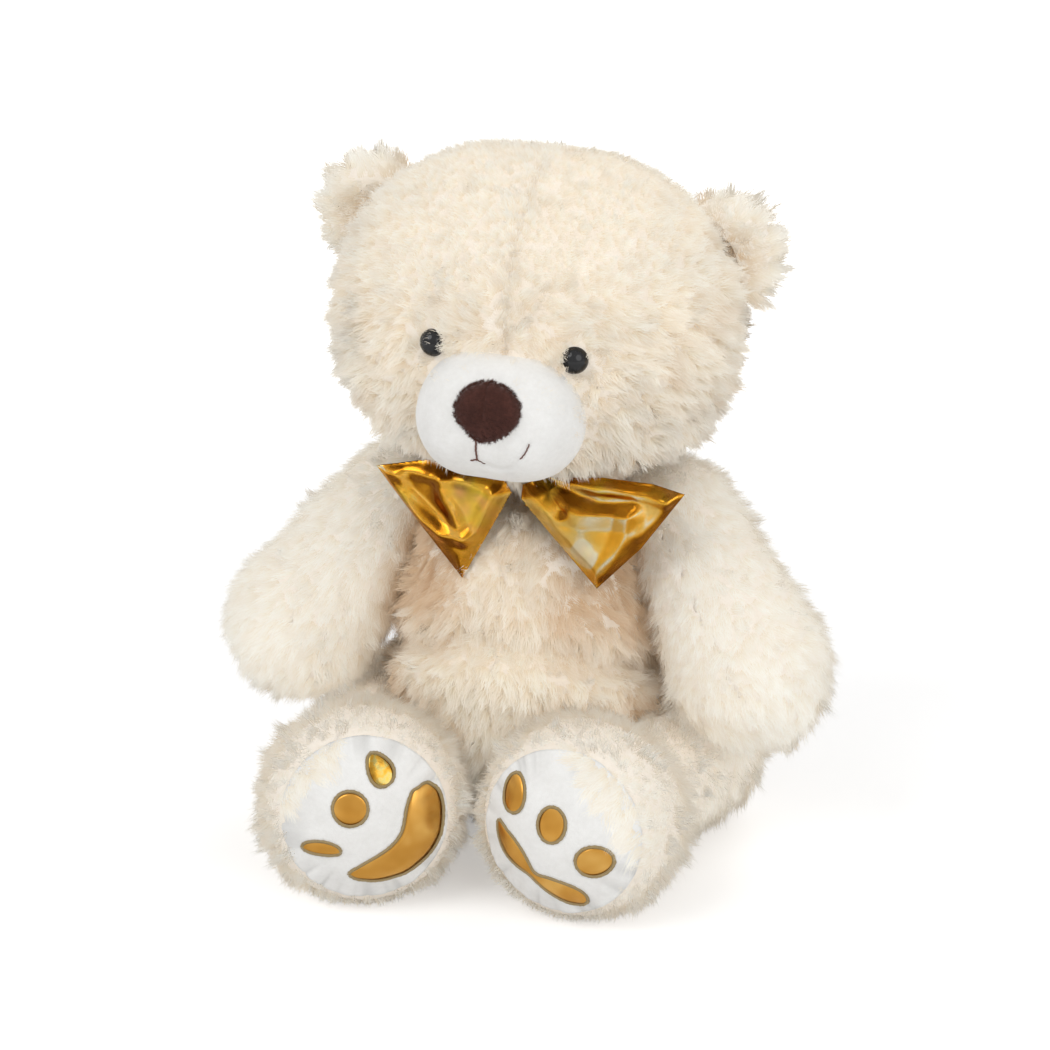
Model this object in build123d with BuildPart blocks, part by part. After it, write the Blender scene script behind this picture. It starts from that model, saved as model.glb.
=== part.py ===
from build123d import *
import os

os.makedirs("parts", exist_ok=True)

# Everything is in mm. +Z is up, the bear sits on Z = 0 and faces -Y, and its left side is +X.

# Cloth
skin = 10.0  # backing cloth with its standing pile
pressed_skin = 4.0  # the same cloth squeezed against a joint disc
velour = 2.5  # short-pile cloth of the muzzle and the soles
joint_gap = 0.6  # between the two cloth faces that turn on each other
hole_room = 0.4  # hole in the cloth round a stem, per side

# Torso: (radius, share of the neck's height) points of its silhouette, joined by three-point arcs
neck_height = 200.0
torso_outline = [(42, 0), (75, 0.32), (69, 0.75), (56, 0.91), (34, 1)]
torso_set_back = 4.0

# Head, in its own frame: a ball drawn out sideways, sitting a little turned and tilted
head_radius = 89.0
head_sink = 2.0  # the neck is cut this far up into the ball
head_centre = (2, -8, neck_height + head_radius - head_sink)
head_tilt = 4.0
head_turn = 5.0
head_spread = 18.0  # centre of each cheek ball from the middle
face_seam_back = 12.0  # the seam from ear to ear lies this far behind the centre
neck_axis_at = (3, -6)

# Features, in the head's frame
muzzle_centre = (0, -86, -33)
muzzle_radius = 31.0
muzzle_spread = 12.0
nose_centre = (0, -114.5, -21)
nose_radius = 17.0
nose_height = 12.0
nose_round = 5.0
mouth_thread = 1.6
mouth_height = 1.2
mouth_top = -37.0
smile_left = [(0, -47), (-3, -48.5), (-6, -48)]
smile_right = [(0, -47), (10, -50), (19, -47.5), (25, -40)]
eye_radius = 7.5
eye_at = (36.5, 3)
ear_centre = (93, 16, 41)
ear_radius = 30.0
ear_thickness = 19.0
ear_round = 8.0
ear_lean = 25.0

# Arms: two balls and the cone between them, placed from the shoulder joint
shoulder_drop = 32.0  # from the neck down to the shoulder joint
shoulder_out = 61.6
shoulder_lean = 20.0
shoulder_at = Vector(shoulder_out, 0, neck_height - shoulder_drop)
arm_top_out = 14.4  # from the shoulder joint to the upper ball
arm_top_back = 2.0
arm_top_up = 9.0
arm_spread = 51.0  # from the upper ball to the lower one
arm_forward = 32.0
arm_drop = 70.0
arm_top = shoulder_at + Vector(arm_top_out, arm_top_back, arm_top_up)
arm_end = arm_top + Vector(arm_spread, -arm_forward, -arm_drop)
arm_top_radius = 32.0
arm_end_radius = 42.0

# Legs: a thigh from the hip to the foot, and a ball of a foot with a flatter domed sole
thigh_radius = 35.0
thigh_end_radius = 37.0
seat_clearance = 1.0  # the thigh hangs this far above the floor
hip_out = 72.0
hip_set_back = 12.0
hip_at = Vector(hip_out, hip_set_back, thigh_radius + seat_clearance)
thigh_out = 18.0  # from the hip joint to the thigh's ball
thigh_start = hip_at + Vector(thigh_out, 0, 0)
foot_press = 2.5  # how far the foot's ball is pressed flat on the floor
foot_radius = 52.0
foot_height = foot_radius - foot_press
sole_bulge_radius = 74.0
sole_radius = 44.0
sole_reach = 43.0  # from the foot's centre to the top of the dome
foot_spot = {"left": (60.5, -119), "right": (56, -135)}
toe_in = {"left": 7.0, "right": 23.0}
sole_rise = 8.0
leg_seam_turn = 12.0  # the seam along the leg, from straight ahead
belly_reach = 97.0  # nothing of the torso between the hips is further from the hip axis
hip_notch_room = 8.0  # above the top of the thigh
hip_notch_top = hip_at.Z + thigh_radius + hip_notch_room

# Paw print of foil, in the sole's plane: toes in a row above a curved pad
print_turn = {"left": -28.0, "right": 55.0}
print_shift = {"left": (-2.5, -1.5), "right": (2, 2)}
toe_names = ["first", "second", "third"]
toe_spots = [(-28, 7), (-1, 8), (26, 7)]
toe_semi = (8.5, 10)
pad_arc_centre = (1, 3)
pad_arc_radius = 37.0
pad_arc_from = 212.0
pad_arc_sweep = 110.0
pad_width = 15.0
foil = 0.6
foil_lift = 0.03  # glue line between foil and sole
sole_front = sole_reach + 2 * foot_press  # past the sole's dome
stitch_height = 1.3
stitch_width = 2.0

# Bow of foil cloth: two loops spread from the knot, corner points as (x, height above the neck)
bow_at = -62.0
bow_thickness = 11.0
bow_loops = {
    "left": [(17, 3), (36, 5), (92, 11), (96, 5), (52, -44), (46, -43), (17, -14)],
    "right": [(1, 2), (-26, 5), (-68, 9), (-72, 3), (-29, -44), (-24, -44), (1, -15)],
}
knot_centre = (9, bow_at + 3, neck_height - 7)
knot_size = (15, 22, 11)
knot_round = 5.0

# Disc joints: a disc on a stem in the limb, a washer and a lock inside the torso
disc_thickness = 2.5
stem_radius = 4.0
washer_thickness = 2.0
washer_room = 0.1
lock_thickness = 2.5
lock_radius = 8.0
lock_gap = 0.3
stem_past_lock = 2.5
shoulder_disc = 15.0
hip_disc = 18.0
neck_disc = 16.0
eye_stem_radius = 2.2
eye_stem_length = 16.0
eye_lock_radius = 7.0
eye_lock_thickness = 2.0

big = 500.0  # larger than the bear, for cutting tools
sides = (("left", 1), ("right", -1))


def arcs_about_z(points):
    """A solid of revolution about Z: three-point arcs through (radius, height) points."""
    with BuildPart() as body:
        with BuildSketch(Plane.XZ):
            with BuildLine():
                for i in range(0, len(points) - 2, 2):
                    ThreePointArc(points[i], points[i + 1], points[i + 2])
                Polyline([points[-1], (0, points[-1][1]), (0, points[0][1]), points[0]])
            make_face()
        revolve(axis=Axis.Z)
    return body.part


def drawn_in(points, depth):
    """The same silhouette, depth further in at the side and at both ends."""
    height = points[-1][1]
    squeeze = 1 - 2 * depth / height
    return [(radius - depth, depth + level * squeeze) for radius, level in points]


def capsule(start, end, start_radius, end_radius):
    """Two balls and the cone that touches both, turned as one piece."""
    axis = end - start
    slope = (start_radius - end_radius) / axis.length
    level = (1 - slope ** 2) ** 0.5
    half = 0.5 ** 0.5
    tip = axis.length + end_radius
    with BuildPart() as body:
        with BuildSketch(Plane.XZ):
            with BuildLine():
                low = (start_radius * level, start_radius * slope)
                high = (end_radius * level, axis.length + end_radius * slope)
                ThreePointArc((0, -start_radius), (start_radius * half, -start_radius * half), low)
                Line(low, high)
                ThreePointArc(high, (end_radius * half, axis.length + end_radius * half), (0, tip))
                Line((0, tip), (0, -start_radius))
            make_face()
        revolve(axis=Axis.Z)
    return body.part.moved(Plane(origin=start, z_dir=axis).location)


def ball(centre, radius):
    """A plain ball."""
    with BuildPart() as body:
        with Locations(centre):
            Sphere(radius)
    return body.part


def beyond(plane):
    """Everything on the side of a plane that its normal points to."""
    with BuildPart(plane) as block:
        Box(big, big, big, align=(Align.CENTER, Align.CENTER, Align.MIN))
    return block.part


def rod(plane, radius, start, end):
    """A cylinder along the plane's normal, between two distances from the plane."""
    with BuildPart(plane.offset(start)) as bar:
        Cylinder(radius, end - start, align=(Align.CENTER, Align.CENTER, Align.MIN))
    return bar.part


def cut(body, *tools):
    """A body with tools taken away."""
    with BuildPart() as result:
        add(body)
        add(tools, mode=Mode.SUBTRACT)
    return result.part


def joined(*bodies):
    """Several bodies made one."""
    with BuildPart() as result:
        add(bodies)
    return result.part


def common(body, *tools):
    """What a body shares with every tool."""
    with BuildPart() as result:
        add(body)
        for tool in tools:
            add(tool, mode=Mode.INTERSECT)
    return result.part


def halves(body, plane):
    """A body split by a plane: the side its normal points to, then the other."""
    with BuildPart() as near:
        add(body)
        split(bisect_by=plane, keep=Keep.TOP)
    with BuildPart() as far:
        add(body)
        split(bisect_by=plane, keep=Keep.BOTTOM)
    return near.part, far.part


def mirrored(body):
    """The same body on the other side of the bear."""
    with BuildPart() as other:
        mirror(body, about=Plane.YZ, mode=Mode.ADD)
    return other.part


def save(name, body):
    """Write one named node."""
    body.label = name
    export_step(body, f"parts/{name}.step")


# Disc joint, on a plane whose normal points from the torso into the moving piece
half_gap = joint_gap / 2
disc_near = half_gap + pressed_skin
washer_near = -disc_near - washer_thickness
lock_near = washer_near - lock_gap
lock_far = lock_near - lock_thickness
stem_end = lock_far - stem_past_lock
pocket_end = stem_end - 1.0


def disc_and_stem(plane, radius):
    """The disc that the limb turns with, one piece with its stem."""
    return joined(rod(plane, radius, disc_near, disc_near + disc_thickness),
                  rod(plane, stem_radius, stem_end, disc_near))


def washer(plane, radius):
    """The loose washer inside the torso."""
    hole = rod(plane, stem_radius + washer_room, washer_near, -disc_near)
    return cut(rod(plane, radius, washer_near, -disc_near), hole)


def lock(plane):
    """The lock pressed on the stem."""
    return cut(rod(plane, lock_radius, lock_far, lock_near), rod(plane, stem_radius, lock_far, lock_near))


def torso_pocket(plane, radius):
    """Room behind the torso's cloth for washer, lock and stem."""
    return rod(plane, radius, pocket_end, -disc_near)


def limb_pocket(plane, radius):
    """Room behind the limb's cloth for the disc."""
    return rod(plane, radius, disc_near, disc_near + disc_thickness)


def stem_hole(plane):
    """The hole that a stem needs in the cloth on both sides."""
    return rod(plane, stem_radius + hole_room, -disc_near, disc_near)


# Joint planes
neck = Plane(origin=(*neck_axis_at, neck_height), z_dir=(0, 0, 1))
lean_normal = Vector(0, 0, 1).rotate(Axis.Y, 90 - shoulder_lean)
left_shoulder = Plane(origin=shoulder_at, z_dir=lean_normal)
shoulders = {
    "left": left_shoulder,
    "right": Plane(origin=(-shoulder_at.X, shoulder_at.Y, shoulder_at.Z),
                   z_dir=(-lean_normal.X, lean_normal.Y, lean_normal.Z)),
}
hips = {
    "left": Plane(origin=hip_at, z_dir=(1, 0, 0)),
    "right": Plane(origin=(-hip_at.X, hip_at.Y, hip_at.Z), z_dir=(-1, 0, 0)),
}

# Torso, with flat faces where the limbs turn and a step over each thigh
torso_place = Location((0, torso_set_back, 0))
torso_points = [(radius, share * neck_height) for radius, share in torso_outline]
torso_shape = arcs_about_z(torso_points).moved(torso_place)
torso_core = arcs_about_z(drawn_in(torso_points, skin)).moved(torso_place)


def limb_room(depth):
    """What the limbs and their travel take from the torso, depth further in."""
    tools = []
    for side, sign in sides:
        tools.append(beyond(shoulders[side].offset(-half_gap - depth)))
        with BuildPart() as notch:
            with Locations((sign * (hip_at.X - half_gap - depth + big / 2), 0, 0)):
                Box(big, big, 2 * (hip_notch_top + depth))
        tools.append(notch.part)
    return tools


torso_outer = cut(torso_shape, *limb_room(0))
torso_inner = cut(torso_core, *limb_room(pressed_skin))
neck_fill = rod(neck, neck_disc, -skin - pressed_skin, -disc_near)
pockets = [torso_pocket(neck, neck_disc)]
stem_holes = [stem_hole(neck)]
for side, sign in sides:
    pockets += [torso_pocket(shoulders[side], shoulder_disc), torso_pocket(hips[side], hip_disc)]
    stem_holes += [stem_hole(shoulders[side]), stem_hole(hips[side])]
torso_filled = joined(torso_inner, neck_fill)
torso_skin = cut(torso_outer, torso_filled, *stem_holes, *pockets)
torso_front, torso_back = halves(torso_skin, Plane.XZ.offset(-torso_set_back))
for place, panel in (("front", torso_front), ("back", torso_back)):
    left_panel, right_panel = halves(panel, Plane.YZ)
    save(f"torso_{place}_left", left_panel)
    save(f"torso_{place}_right", right_panel)
save("torso_stuffing", cut(torso_filled, *pockets))

# Head
head_place = Location(head_centre) * Location((0, 0, 0), (0, 0, head_turn)) * Location((0, 0, 0), (0, head_tilt, 0))


def head_plane(origin, normal, x_dir=None):
    """A plane given in the head's own frame."""
    return Plane(head_place * Plane(origin=origin, x_dir=x_dir, z_dir=normal).location)


def drawn_out(centre, spread, radius):
    """A ball drawn out sideways, given in the head's own frame."""
    middle = Vector(*centre)
    return capsule(middle - Vector(spread, 0, 0), middle + Vector(spread, 0, 0), radius, radius).moved(head_place)


head_shape = drawn_out((0, 0, 0), head_spread, head_radius)
head_core = drawn_out((0, 0, 0), head_spread, head_radius - skin)
muzzle_outer = drawn_out(muzzle_centre, muzzle_spread, muzzle_radius)
muzzle_inner = drawn_out(muzzle_centre, muzzle_spread, muzzle_radius - velour)
head_outer = common(head_shape, beyond(neck.offset(half_gap)))
head_neck_fill = rod(neck, neck_disc, disc_near, skin + pressed_skin)
head_filled = common(joined(head_core, head_neck_fill, muzzle_inner), beyond(neck.offset(disc_near)))

# Eyes sit square on the face, on stems that a lock holds inside
eye_out = eye_at[0] - head_spread
eye_front = (head_radius ** 2 - eye_out ** 2 - eye_at[1] ** 2) ** 0.5
eyes = {}
for side, sign in sides:
    eyes[side] = head_plane((sign * eye_at[0], -eye_front, eye_at[1]), (sign * eye_out, -eye_front, eye_at[1]))
eye_holes = [rod(plane, eye_stem_radius, -eye_stem_length, eye_radius) for plane in eyes.values()]
eye_beds = [rod(plane, eye_lock_radius, -eye_stem_length, -skin) for plane in eyes.values()]
eye_locks = []
for side, plane in eyes.items():
    dome = common(ball(plane.origin, eye_radius), beyond(plane))
    save(f"eye_{side}", joined(dome, rod(plane, eye_stem_radius, -eye_stem_length, 0)))
    hole = rod(plane, eye_stem_radius, -eye_stem_length, 0)
    eye_locks.append(cut(rod(plane, eye_lock_radius, -skin - eye_lock_thickness, -skin), hole))
save("eye_locks", Compound(children=eye_locks))

neck_bed = limb_pocket(neck, neck_disc)
head_skin = cut(head_outer, head_filled, muzzle_outer, stem_hole(neck), neck_bed, *eye_holes, *eye_beds)
face, head_back = halves(head_skin, head_plane((0, face_seam_back, 0), (0, -1, 0)))
face_left, face_right = halves(face, head_plane((0, 0, 0), (1, 0, 0)))
save("head_face_left", face_left)
save("head_face_right", face_right)
save("head_back", head_back)
save("head_stuffing", cut(head_filled, neck_bed, *eye_beds))
save("muzzle", cut(muzzle_outer, muzzle_inner, head_core))

# Nose pad and stitched mouth
nose_plane = head_plane(nose_centre, (0, -1, 0))
with BuildPart(nose_plane) as nose:
    Cylinder(nose_radius, nose_height)
    fillet(nose.edges().filter_by(GeomType.CIRCLE), radius=nose_round)
nose_pad = cut(nose.part, muzzle_outer)
save("nose", nose_pad)
muzzle_band = cut(drawn_out(muzzle_centre, muzzle_spread, muzzle_radius + mouth_height), muzzle_outer, nose.part)
with BuildPart() as mouth:
    with BuildSketch(head_plane((0, muzzle_centre[1], 0), (0, -1, 0), x_dir=(1, 0, 0))):
        with BuildLine():
            Line((0, mouth_top), smile_left[0])
        trace(line_width=mouth_thread)
        with BuildLine():
            Spline(smile_left)
        trace(line_width=mouth_thread)
        with BuildLine():
            Spline(smile_right)
        trace(line_width=mouth_thread)
    extrude(amount=2 * muzzle_radius, dir=nose_plane.z_dir)
    add(muzzle_band, mode=Mode.INTERSECT)
save("mouth_stitching", mouth.part)

# Ears
for side, sign in sides:
    ear_place = head_place * Location((sign * ear_centre[0], ear_centre[1], ear_centre[2]), (0, sign * ear_lean, 0))
    ear_plane = Plane(ear_place * Plane.XZ.location)
    with BuildPart(ear_plane) as ear:
        Cylinder(ear_radius, ear_thickness)
        fillet(ear.edges().filter_by(GeomType.CIRCLE), radius=ear_round)
    ear_front, ear_back = halves(cut(ear.part, head_shape), ear_plane)
    save(f"ear_{side}_front", ear_front)
    save(f"ear_{side}_back", ear_back)

# Arms: made for the left, mirrored for the right
arm_axis = (arm_end - arm_top).normalized()
across_arm = lean_normal - arm_axis * lean_normal.dot(arm_axis)
arm_seam = Plane(origin=arm_top, z_dir=across_arm)
arm_outer = common(capsule(arm_top, arm_end, arm_top_radius, arm_end_radius),
                   beyond(left_shoulder.offset(half_gap)))
arm_core = common(capsule(arm_top, arm_end, arm_top_radius - skin, arm_end_radius - skin),
                  beyond(left_shoulder.offset(disc_near)))
arm_bed = limb_pocket(left_shoulder, shoulder_disc)
outside, inside = halves(cut(arm_outer, arm_core, arm_bed, stem_hole(left_shoulder)), arm_seam)
arm_stuffing = cut(arm_core, arm_bed)
for side, sign in sides:
    pieces = {
        f"arm_{side}_outside": outside,
        f"arm_{side}_inside": inside,
        f"arm_{side}_stuffing": arm_stuffing,
        f"shoulder_{side}_disc": disc_and_stem(left_shoulder, shoulder_disc),
        f"shoulder_{side}_lock": lock(left_shoulder),
    }
    for name, piece in pieces.items():
        save(name, piece if sign > 0 else mirrored(piece))

# Legs
for side, sign in sides:
    spot_x, spot_y = foot_spot[side]
    foot_centre = Vector(sign * spot_x, spot_y, foot_height)
    yaw = -sign * toe_in[side]
    facing = Vector(0, -1, 0).rotate(Axis.X, -sole_rise).rotate(Axis.Z, yaw)
    foot_plane = Plane(origin=foot_centre, x_dir=Vector(1, 0, 0).rotate(Axis.Z, yaw), z_dir=facing)
    bulge_centre = foot_centre + facing * (sole_reach - sole_bulge_radius)
    hip_centre = Vector(sign * thigh_start.X, thigh_start.Y, thigh_start.Z)
    hip = hips[side]

    def leg_room(depth):
        """What the torso, the seat and the leg's own travel take from the leg."""
        return [rod(hip, belly_reach + depth, -hip_at.X, half_gap + depth),
                beyond(Plane(origin=(0, 0, depth), z_dir=(0, 0, -1)))]

    thigh = capsule(hip_centre, foot_centre, thigh_radius, thigh_end_radius)
    foot = common(ball(foot_centre, foot_radius), ball(bulge_centre, sole_bulge_radius))
    thigh_core = capsule(hip_centre, foot_centre, thigh_radius - skin, thigh_end_radius - skin)
    foot_core = common(ball(foot_centre, foot_radius - skin), ball(bulge_centre, sole_bulge_radius - velour))
    leg_outer = cut(joined(thigh, foot), *leg_room(0))
    leg_core = cut(joined(thigh_core, foot_core), *leg_room(pressed_skin))
    sole_blank = common(foot, rod(foot_plane, sole_radius, 0, foot_radius))
    sole = cut(sole_blank, ball(bulge_centre, sole_bulge_radius - velour), *leg_room(0))
    save(f"sole_{side}", sole)

    across_leg = Vector(sign, 0, 0).rotate(Axis.Z, sign * leg_seam_turn)
    leg_bed = limb_pocket(hip, hip_disc)
    leg_skin = cut(leg_outer, leg_core, sole, leg_bed, stem_hole(hip))
    outside, inside = halves(leg_skin, Plane(origin=foot_centre, z_dir=across_leg))
    save(f"leg_{side}_outside", outside)
    save(f"leg_{side}_inside", inside)
    save(f"leg_{side}_stuffing", cut(leg_core, leg_bed))
    save(f"hip_{side}_disc", disc_and_stem(hip, hip_disc))
    save(f"hip_{side}_lock", lock(hip))

    # Paw print
    print_plane = Plane(foot_plane.location * Location((0, 0, 0), (0, 0, print_turn[side])))
    foil_bulge = ball(bulge_centre, sole_bulge_radius + foil)
    stitch_bulge = ball(bulge_centre, sole_bulge_radius + stitch_height)
    under_print = ball(bulge_centre, sole_bulge_radius + foil_lift)
    stitches = []
    shapes = []
    for toe_x, toe_y in toe_spots:
        with BuildSketch(print_plane) as toe:
            with Locations((toe_x + print_shift[side][0], toe_y + print_shift[side][1])):
                Ellipse(*toe_semi)
        with BuildSketch(print_plane) as rim:
            with Locations((toe_x + print_shift[side][0], toe_y + print_shift[side][1])):
                Ellipse(toe_semi[0] + stitch_width, toe_semi[1] + stitch_width)
        shapes.append((toe.sketch, rim.sketch))
    pads = []
    pad_centre = (pad_arc_centre[0] + print_shift[side][0], pad_arc_centre[1] + print_shift[side][1])
    for width in (pad_width, pad_width + 2 * stitch_width):
        with BuildSketch(print_plane) as pad:
            with BuildLine() as middle_line:
                CenterArc(pad_centre, pad_arc_radius, pad_arc_from, pad_arc_sweep)
            trace(line_width=width)
            with Locations(middle_line.line @ 0, middle_line.line @ 1):
                Circle(width / 2)
        pads.append(pad.sketch)
    shapes.append(tuple(pads))
    names = [f"toe_{place}_{side}" for place in toe_names] + [f"paw_pad_{side}"]
    for name, (face_shape, rim_shape) in zip(names, shapes):
        with BuildPart() as patch:
            extrude(face_shape, amount=sole_front, dir=facing)
            add(foil_bulge, mode=Mode.INTERSECT)
            add(under_print, mode=Mode.SUBTRACT)
        with BuildPart() as border:
            extrude(rim_shape, amount=sole_front, dir=facing)
            extrude(face_shape, amount=sole_front, dir=facing, mode=Mode.SUBTRACT)
            add(stitch_bulge, mode=Mode.INTERSECT)
            add(under_print, mode=Mode.SUBTRACT)
        save(name, patch.part)
        stitches.append(border.part)
    save(f"paw_stitching_{side}", Compound(children=stitches))

# Washers
save("neck_washer", washer(neck, neck_disc))
save("neck_disc", disc_and_stem(neck, neck_disc))
save("neck_lock", lock(neck))
save("shoulder_washers", Compound(children=[washer(shoulders[side], shoulder_disc) for side, sign in sides]))
save("hip_washers", Compound(children=[washer(hips[side], hip_disc) for side, sign in sides]))

# Bow
for side, corners in bow_loops.items():
    with BuildPart() as loop:
        with BuildSketch(Plane.XZ.offset(-bow_at)):
            Polygon(*[(x, neck_height + rise) for x, rise in corners], align=None)
        extrude(amount=bow_thickness / 2, both=True)
    save(f"bow_loop_{side}", cut(loop.part, torso_outer))
with BuildPart() as knot:
    with Locations(knot_centre):
        Box(*knot_size)
    fillet(knot.edges().filter_by(Axis.Z), radius=knot_round)
save("bow_knot", cut(knot.part, torso_outer))
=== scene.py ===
from math import ceil, cos, pi, radians, sin

import bmesh
import bpy
import numpy as np
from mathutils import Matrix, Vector, noise
from mathutils.bvhtree import BVHTree


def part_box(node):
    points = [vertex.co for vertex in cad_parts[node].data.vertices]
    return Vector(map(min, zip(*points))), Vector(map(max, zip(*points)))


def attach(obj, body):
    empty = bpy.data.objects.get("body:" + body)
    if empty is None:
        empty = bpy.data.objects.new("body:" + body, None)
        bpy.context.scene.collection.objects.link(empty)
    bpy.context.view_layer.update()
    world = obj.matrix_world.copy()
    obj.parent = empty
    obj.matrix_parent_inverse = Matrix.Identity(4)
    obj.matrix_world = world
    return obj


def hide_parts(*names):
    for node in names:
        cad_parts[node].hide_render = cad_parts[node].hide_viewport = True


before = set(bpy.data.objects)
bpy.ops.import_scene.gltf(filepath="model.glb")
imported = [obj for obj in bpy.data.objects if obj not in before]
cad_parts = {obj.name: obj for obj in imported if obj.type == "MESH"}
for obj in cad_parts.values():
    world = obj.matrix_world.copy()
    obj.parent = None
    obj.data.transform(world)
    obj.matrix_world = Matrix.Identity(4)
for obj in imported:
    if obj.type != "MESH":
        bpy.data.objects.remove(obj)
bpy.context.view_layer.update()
print("frame loaded")

sides = (("left", 1), ("right", -1))
scene = bpy.context.scene
mm = 0.001
down = Vector((0, 0, -1))


class Wire:
    # one output socket that can be used in sums
    def __init__(self, board, socket):
        self.board, self.socket = board, socket

    def __add__(self, other):
        return self.board.math("ADD", self, other)

    def __sub__(self, other):
        return self.board.math("SUBTRACT", self, other)

    def __mul__(self, other):
        return self.board.math("MULTIPLY", self, other)

    __radd__, __rmul__ = __add__, __mul__


class Board:
    # a node tree that nodes are added to one by one
    def __init__(self, tree):
        self.tree = tree

    def add(self, kind, inputs=(), output=0, stops=(), **settings):
        self.node = self.tree.nodes.new(kind)
        for name, value in settings.items():
            setattr(self.node, name, value)
        if stops:
            elements = self.node.color_ramp.elements
            while len(elements) < len(stops):
                elements.new(0.5)
            for element, (place, colour) in zip(elements, stops):
                element.position = place
                element.color = (*colour, 1)
        for name, value in dict(inputs).items():
            if isinstance(value, Wire):
                self.tree.links.new(value.socket, self.node.inputs[name])
            else:
                self.node.inputs[name].default_value = value
        return self.out(output)

    def out(self, name):
        # another output of the node added last
        return Wire(self, self.node.outputs[name])

    def math(self, operation, *values):
        return self.add("ShaderNodeMath", enumerate(values), operation=operation)

    def vector(self, operation, first, second=None):
        inputs = {0: first}
        if second is not None:
            inputs["Scale" if operation == "SCALE" else 1] = second
        output = "Value" if operation in ("DOT_PRODUCT", "LENGTH") else 0
        return self.add("ShaderNodeVectorMath", inputs, output, operation=operation)

    def mix(self, factor, *colours, blend="MIX"):
        first, second = ((*c, 1) if isinstance(c, tuple) else c for c in colours)
        return self.add("ShaderNodeMix", {0: factor, 6: first, 7: second}, 2, data_type="RGBA", blend_type=blend)


def newMaterial(name, **constants):
    material = bpy.data.materials.new(name)
    material.use_nodes = True
    board = Board(material.node_tree)
    board.shader = material.node_tree.nodes["Principled BSDF"]
    for socket, value in constants.items():
        board.shader.inputs[socket.replace("_", " ")].default_value = value
    return material, board


def feed(board, socket, wire):
    board.tree.links.new(wire.socket, board.shader.inputs[socket])


def mottle(board, scale, detail=2.0, rough=0.5, stretch=(1, 1, 1)):
    spot = board.add("ShaderNodeTexCoord", output="Object")
    if stretch != (1, 1, 1):
        spot = board.add("ShaderNodeMapping", {"Vector": spot, "Scale": stretch})
    return board.add("ShaderNodeTexNoise", {"Vector": spot, "Scale": scale, "Detail": detail, "Roughness": rough})


def bumped(board, height, distance, strength=1.0):
    return board.add("ShaderNodeBump", {"Height": height, "Distance": distance, "Strength": strength})


def ramp(board, factor, *stops):
    return board.add("ShaderNodeValToRGB", {"Fac": factor}, stops=stops)


def mottled(name, low, high, patches, uneven, rough=None, **constants):
    # a material that drifts between two shades, over a slightly uneven surface
    material, board = newMaterial(name, **constants)
    feed(board, "Base Color", board.mix(mottle(board, *patches), low, high))
    feed(board, "Normal", bumped(board, mottle(board, *uneven[0]), *uneven[1:]))
    if rough:
        feed(board, "Roughness", rough[0] + rough[1] * mottle(board, *patches))
    return material


def between(value, low, high):
    # 0 at low and 1 at high, eased
    t = max(0.0, min(1.0, (value - low) / (high - low)))
    return t * t * (3 - 2 * t)


def fading(value, low, high):
    # 1 at low and 0 at high, eased
    return 1 - between(value, low, high)


def camel(name):
    first, *rest = name.split("_")
    return first + "".join(word.capitalize() for word in rest)


def opened(mesh):
    bm = bmesh.new()
    bm.from_mesh(mesh)
    return bm


def faceOut(bm):
    bmesh.ops.recalc_face_normals(bm, faces=bm.faces)


def nodeMesh(*names):
    # a merged copy of CAD nodes
    bm = bmesh.new()
    for name in names:
        bm.from_mesh(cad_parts[name].data)
    bmesh.ops.remove_doubles(bm, verts=bm.verts, dist=1e-6)
    return bm


def newPiece(name, bm, material=None, body=None):
    mesh = bpy.data.meshes.new(name)
    for face in bm.faces:
        face.smooth = True
    bm.to_mesh(mesh)
    bm.free()
    piece = bpy.data.objects.new(name, mesh)
    scene.collection.objects.link(piece)
    return dressed(piece, material, body)


def dressed(piece, material, body):
    if material:
        piece.data.materials.append(material)
    if body:
        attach(piece, body)
    return piece


def standsFor(piece, node):
    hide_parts(node)


def finished(piece):
    # the piece's mesh with its modifiers applied
    mesh = bpy.data.meshes.new_from_object(piece.evaluated_get(bpy.context.evaluated_depsgraph_get()))
    old = piece.data
    piece.modifiers.clear()
    piece.data = mesh
    bpy.data.meshes.remove(old)
    return piece


def thickened(piece, thickness):
    solid = piece.modifiers.new("thickness", "SOLIDIFY")
    solid.thickness = thickness
    solid.offset = -1
    return finished(piece)


def treeOf(*names):
    bm = nodeMesh(*names)
    tree = BVHTree.FromBMesh(bm)
    bm.free()
    return tree


def pieceTree(piece):
    mesh = piece.data
    return BVHTree.FromPolygons([v.co for v in mesh.vertices], [p.vertices for p in mesh.polygons])


def middle(*names):
    boxes = [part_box(name) for name in names]
    low = Vector([min(box[0][i] for box in boxes) for i in range(3)])
    high = Vector([max(box[1][i] for box in boxes) for i in range(3)])
    return (low + high) / 2


def skinsOf(*starts):
    # the CAD nodes of the named limbs or body, without their filling and hardware
    kinds = "front back inside outside front_left front_right back_left back_right face_left face_right".split()
    return [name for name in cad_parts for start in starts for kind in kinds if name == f"{start}_{kind}"]


def outerShell(bm):
    # keeps the largest loose part of a mesh and drops what voxels left inside it
    unseen, parts = set(bm.verts), []
    while unseen:
        front = {unseen.pop()}
        part = set(front)
        while front:
            front = {edge.other_vert(vert) for vert in front for edge in vert.link_edges} & unseen
            unseen -= front
            part |= front
        parts.append(part)
    parts.sort(key=len)
    bmesh.ops.delete(bm, geom=[v for part in parts[:-1] for v in part], context="VERTS")


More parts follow.
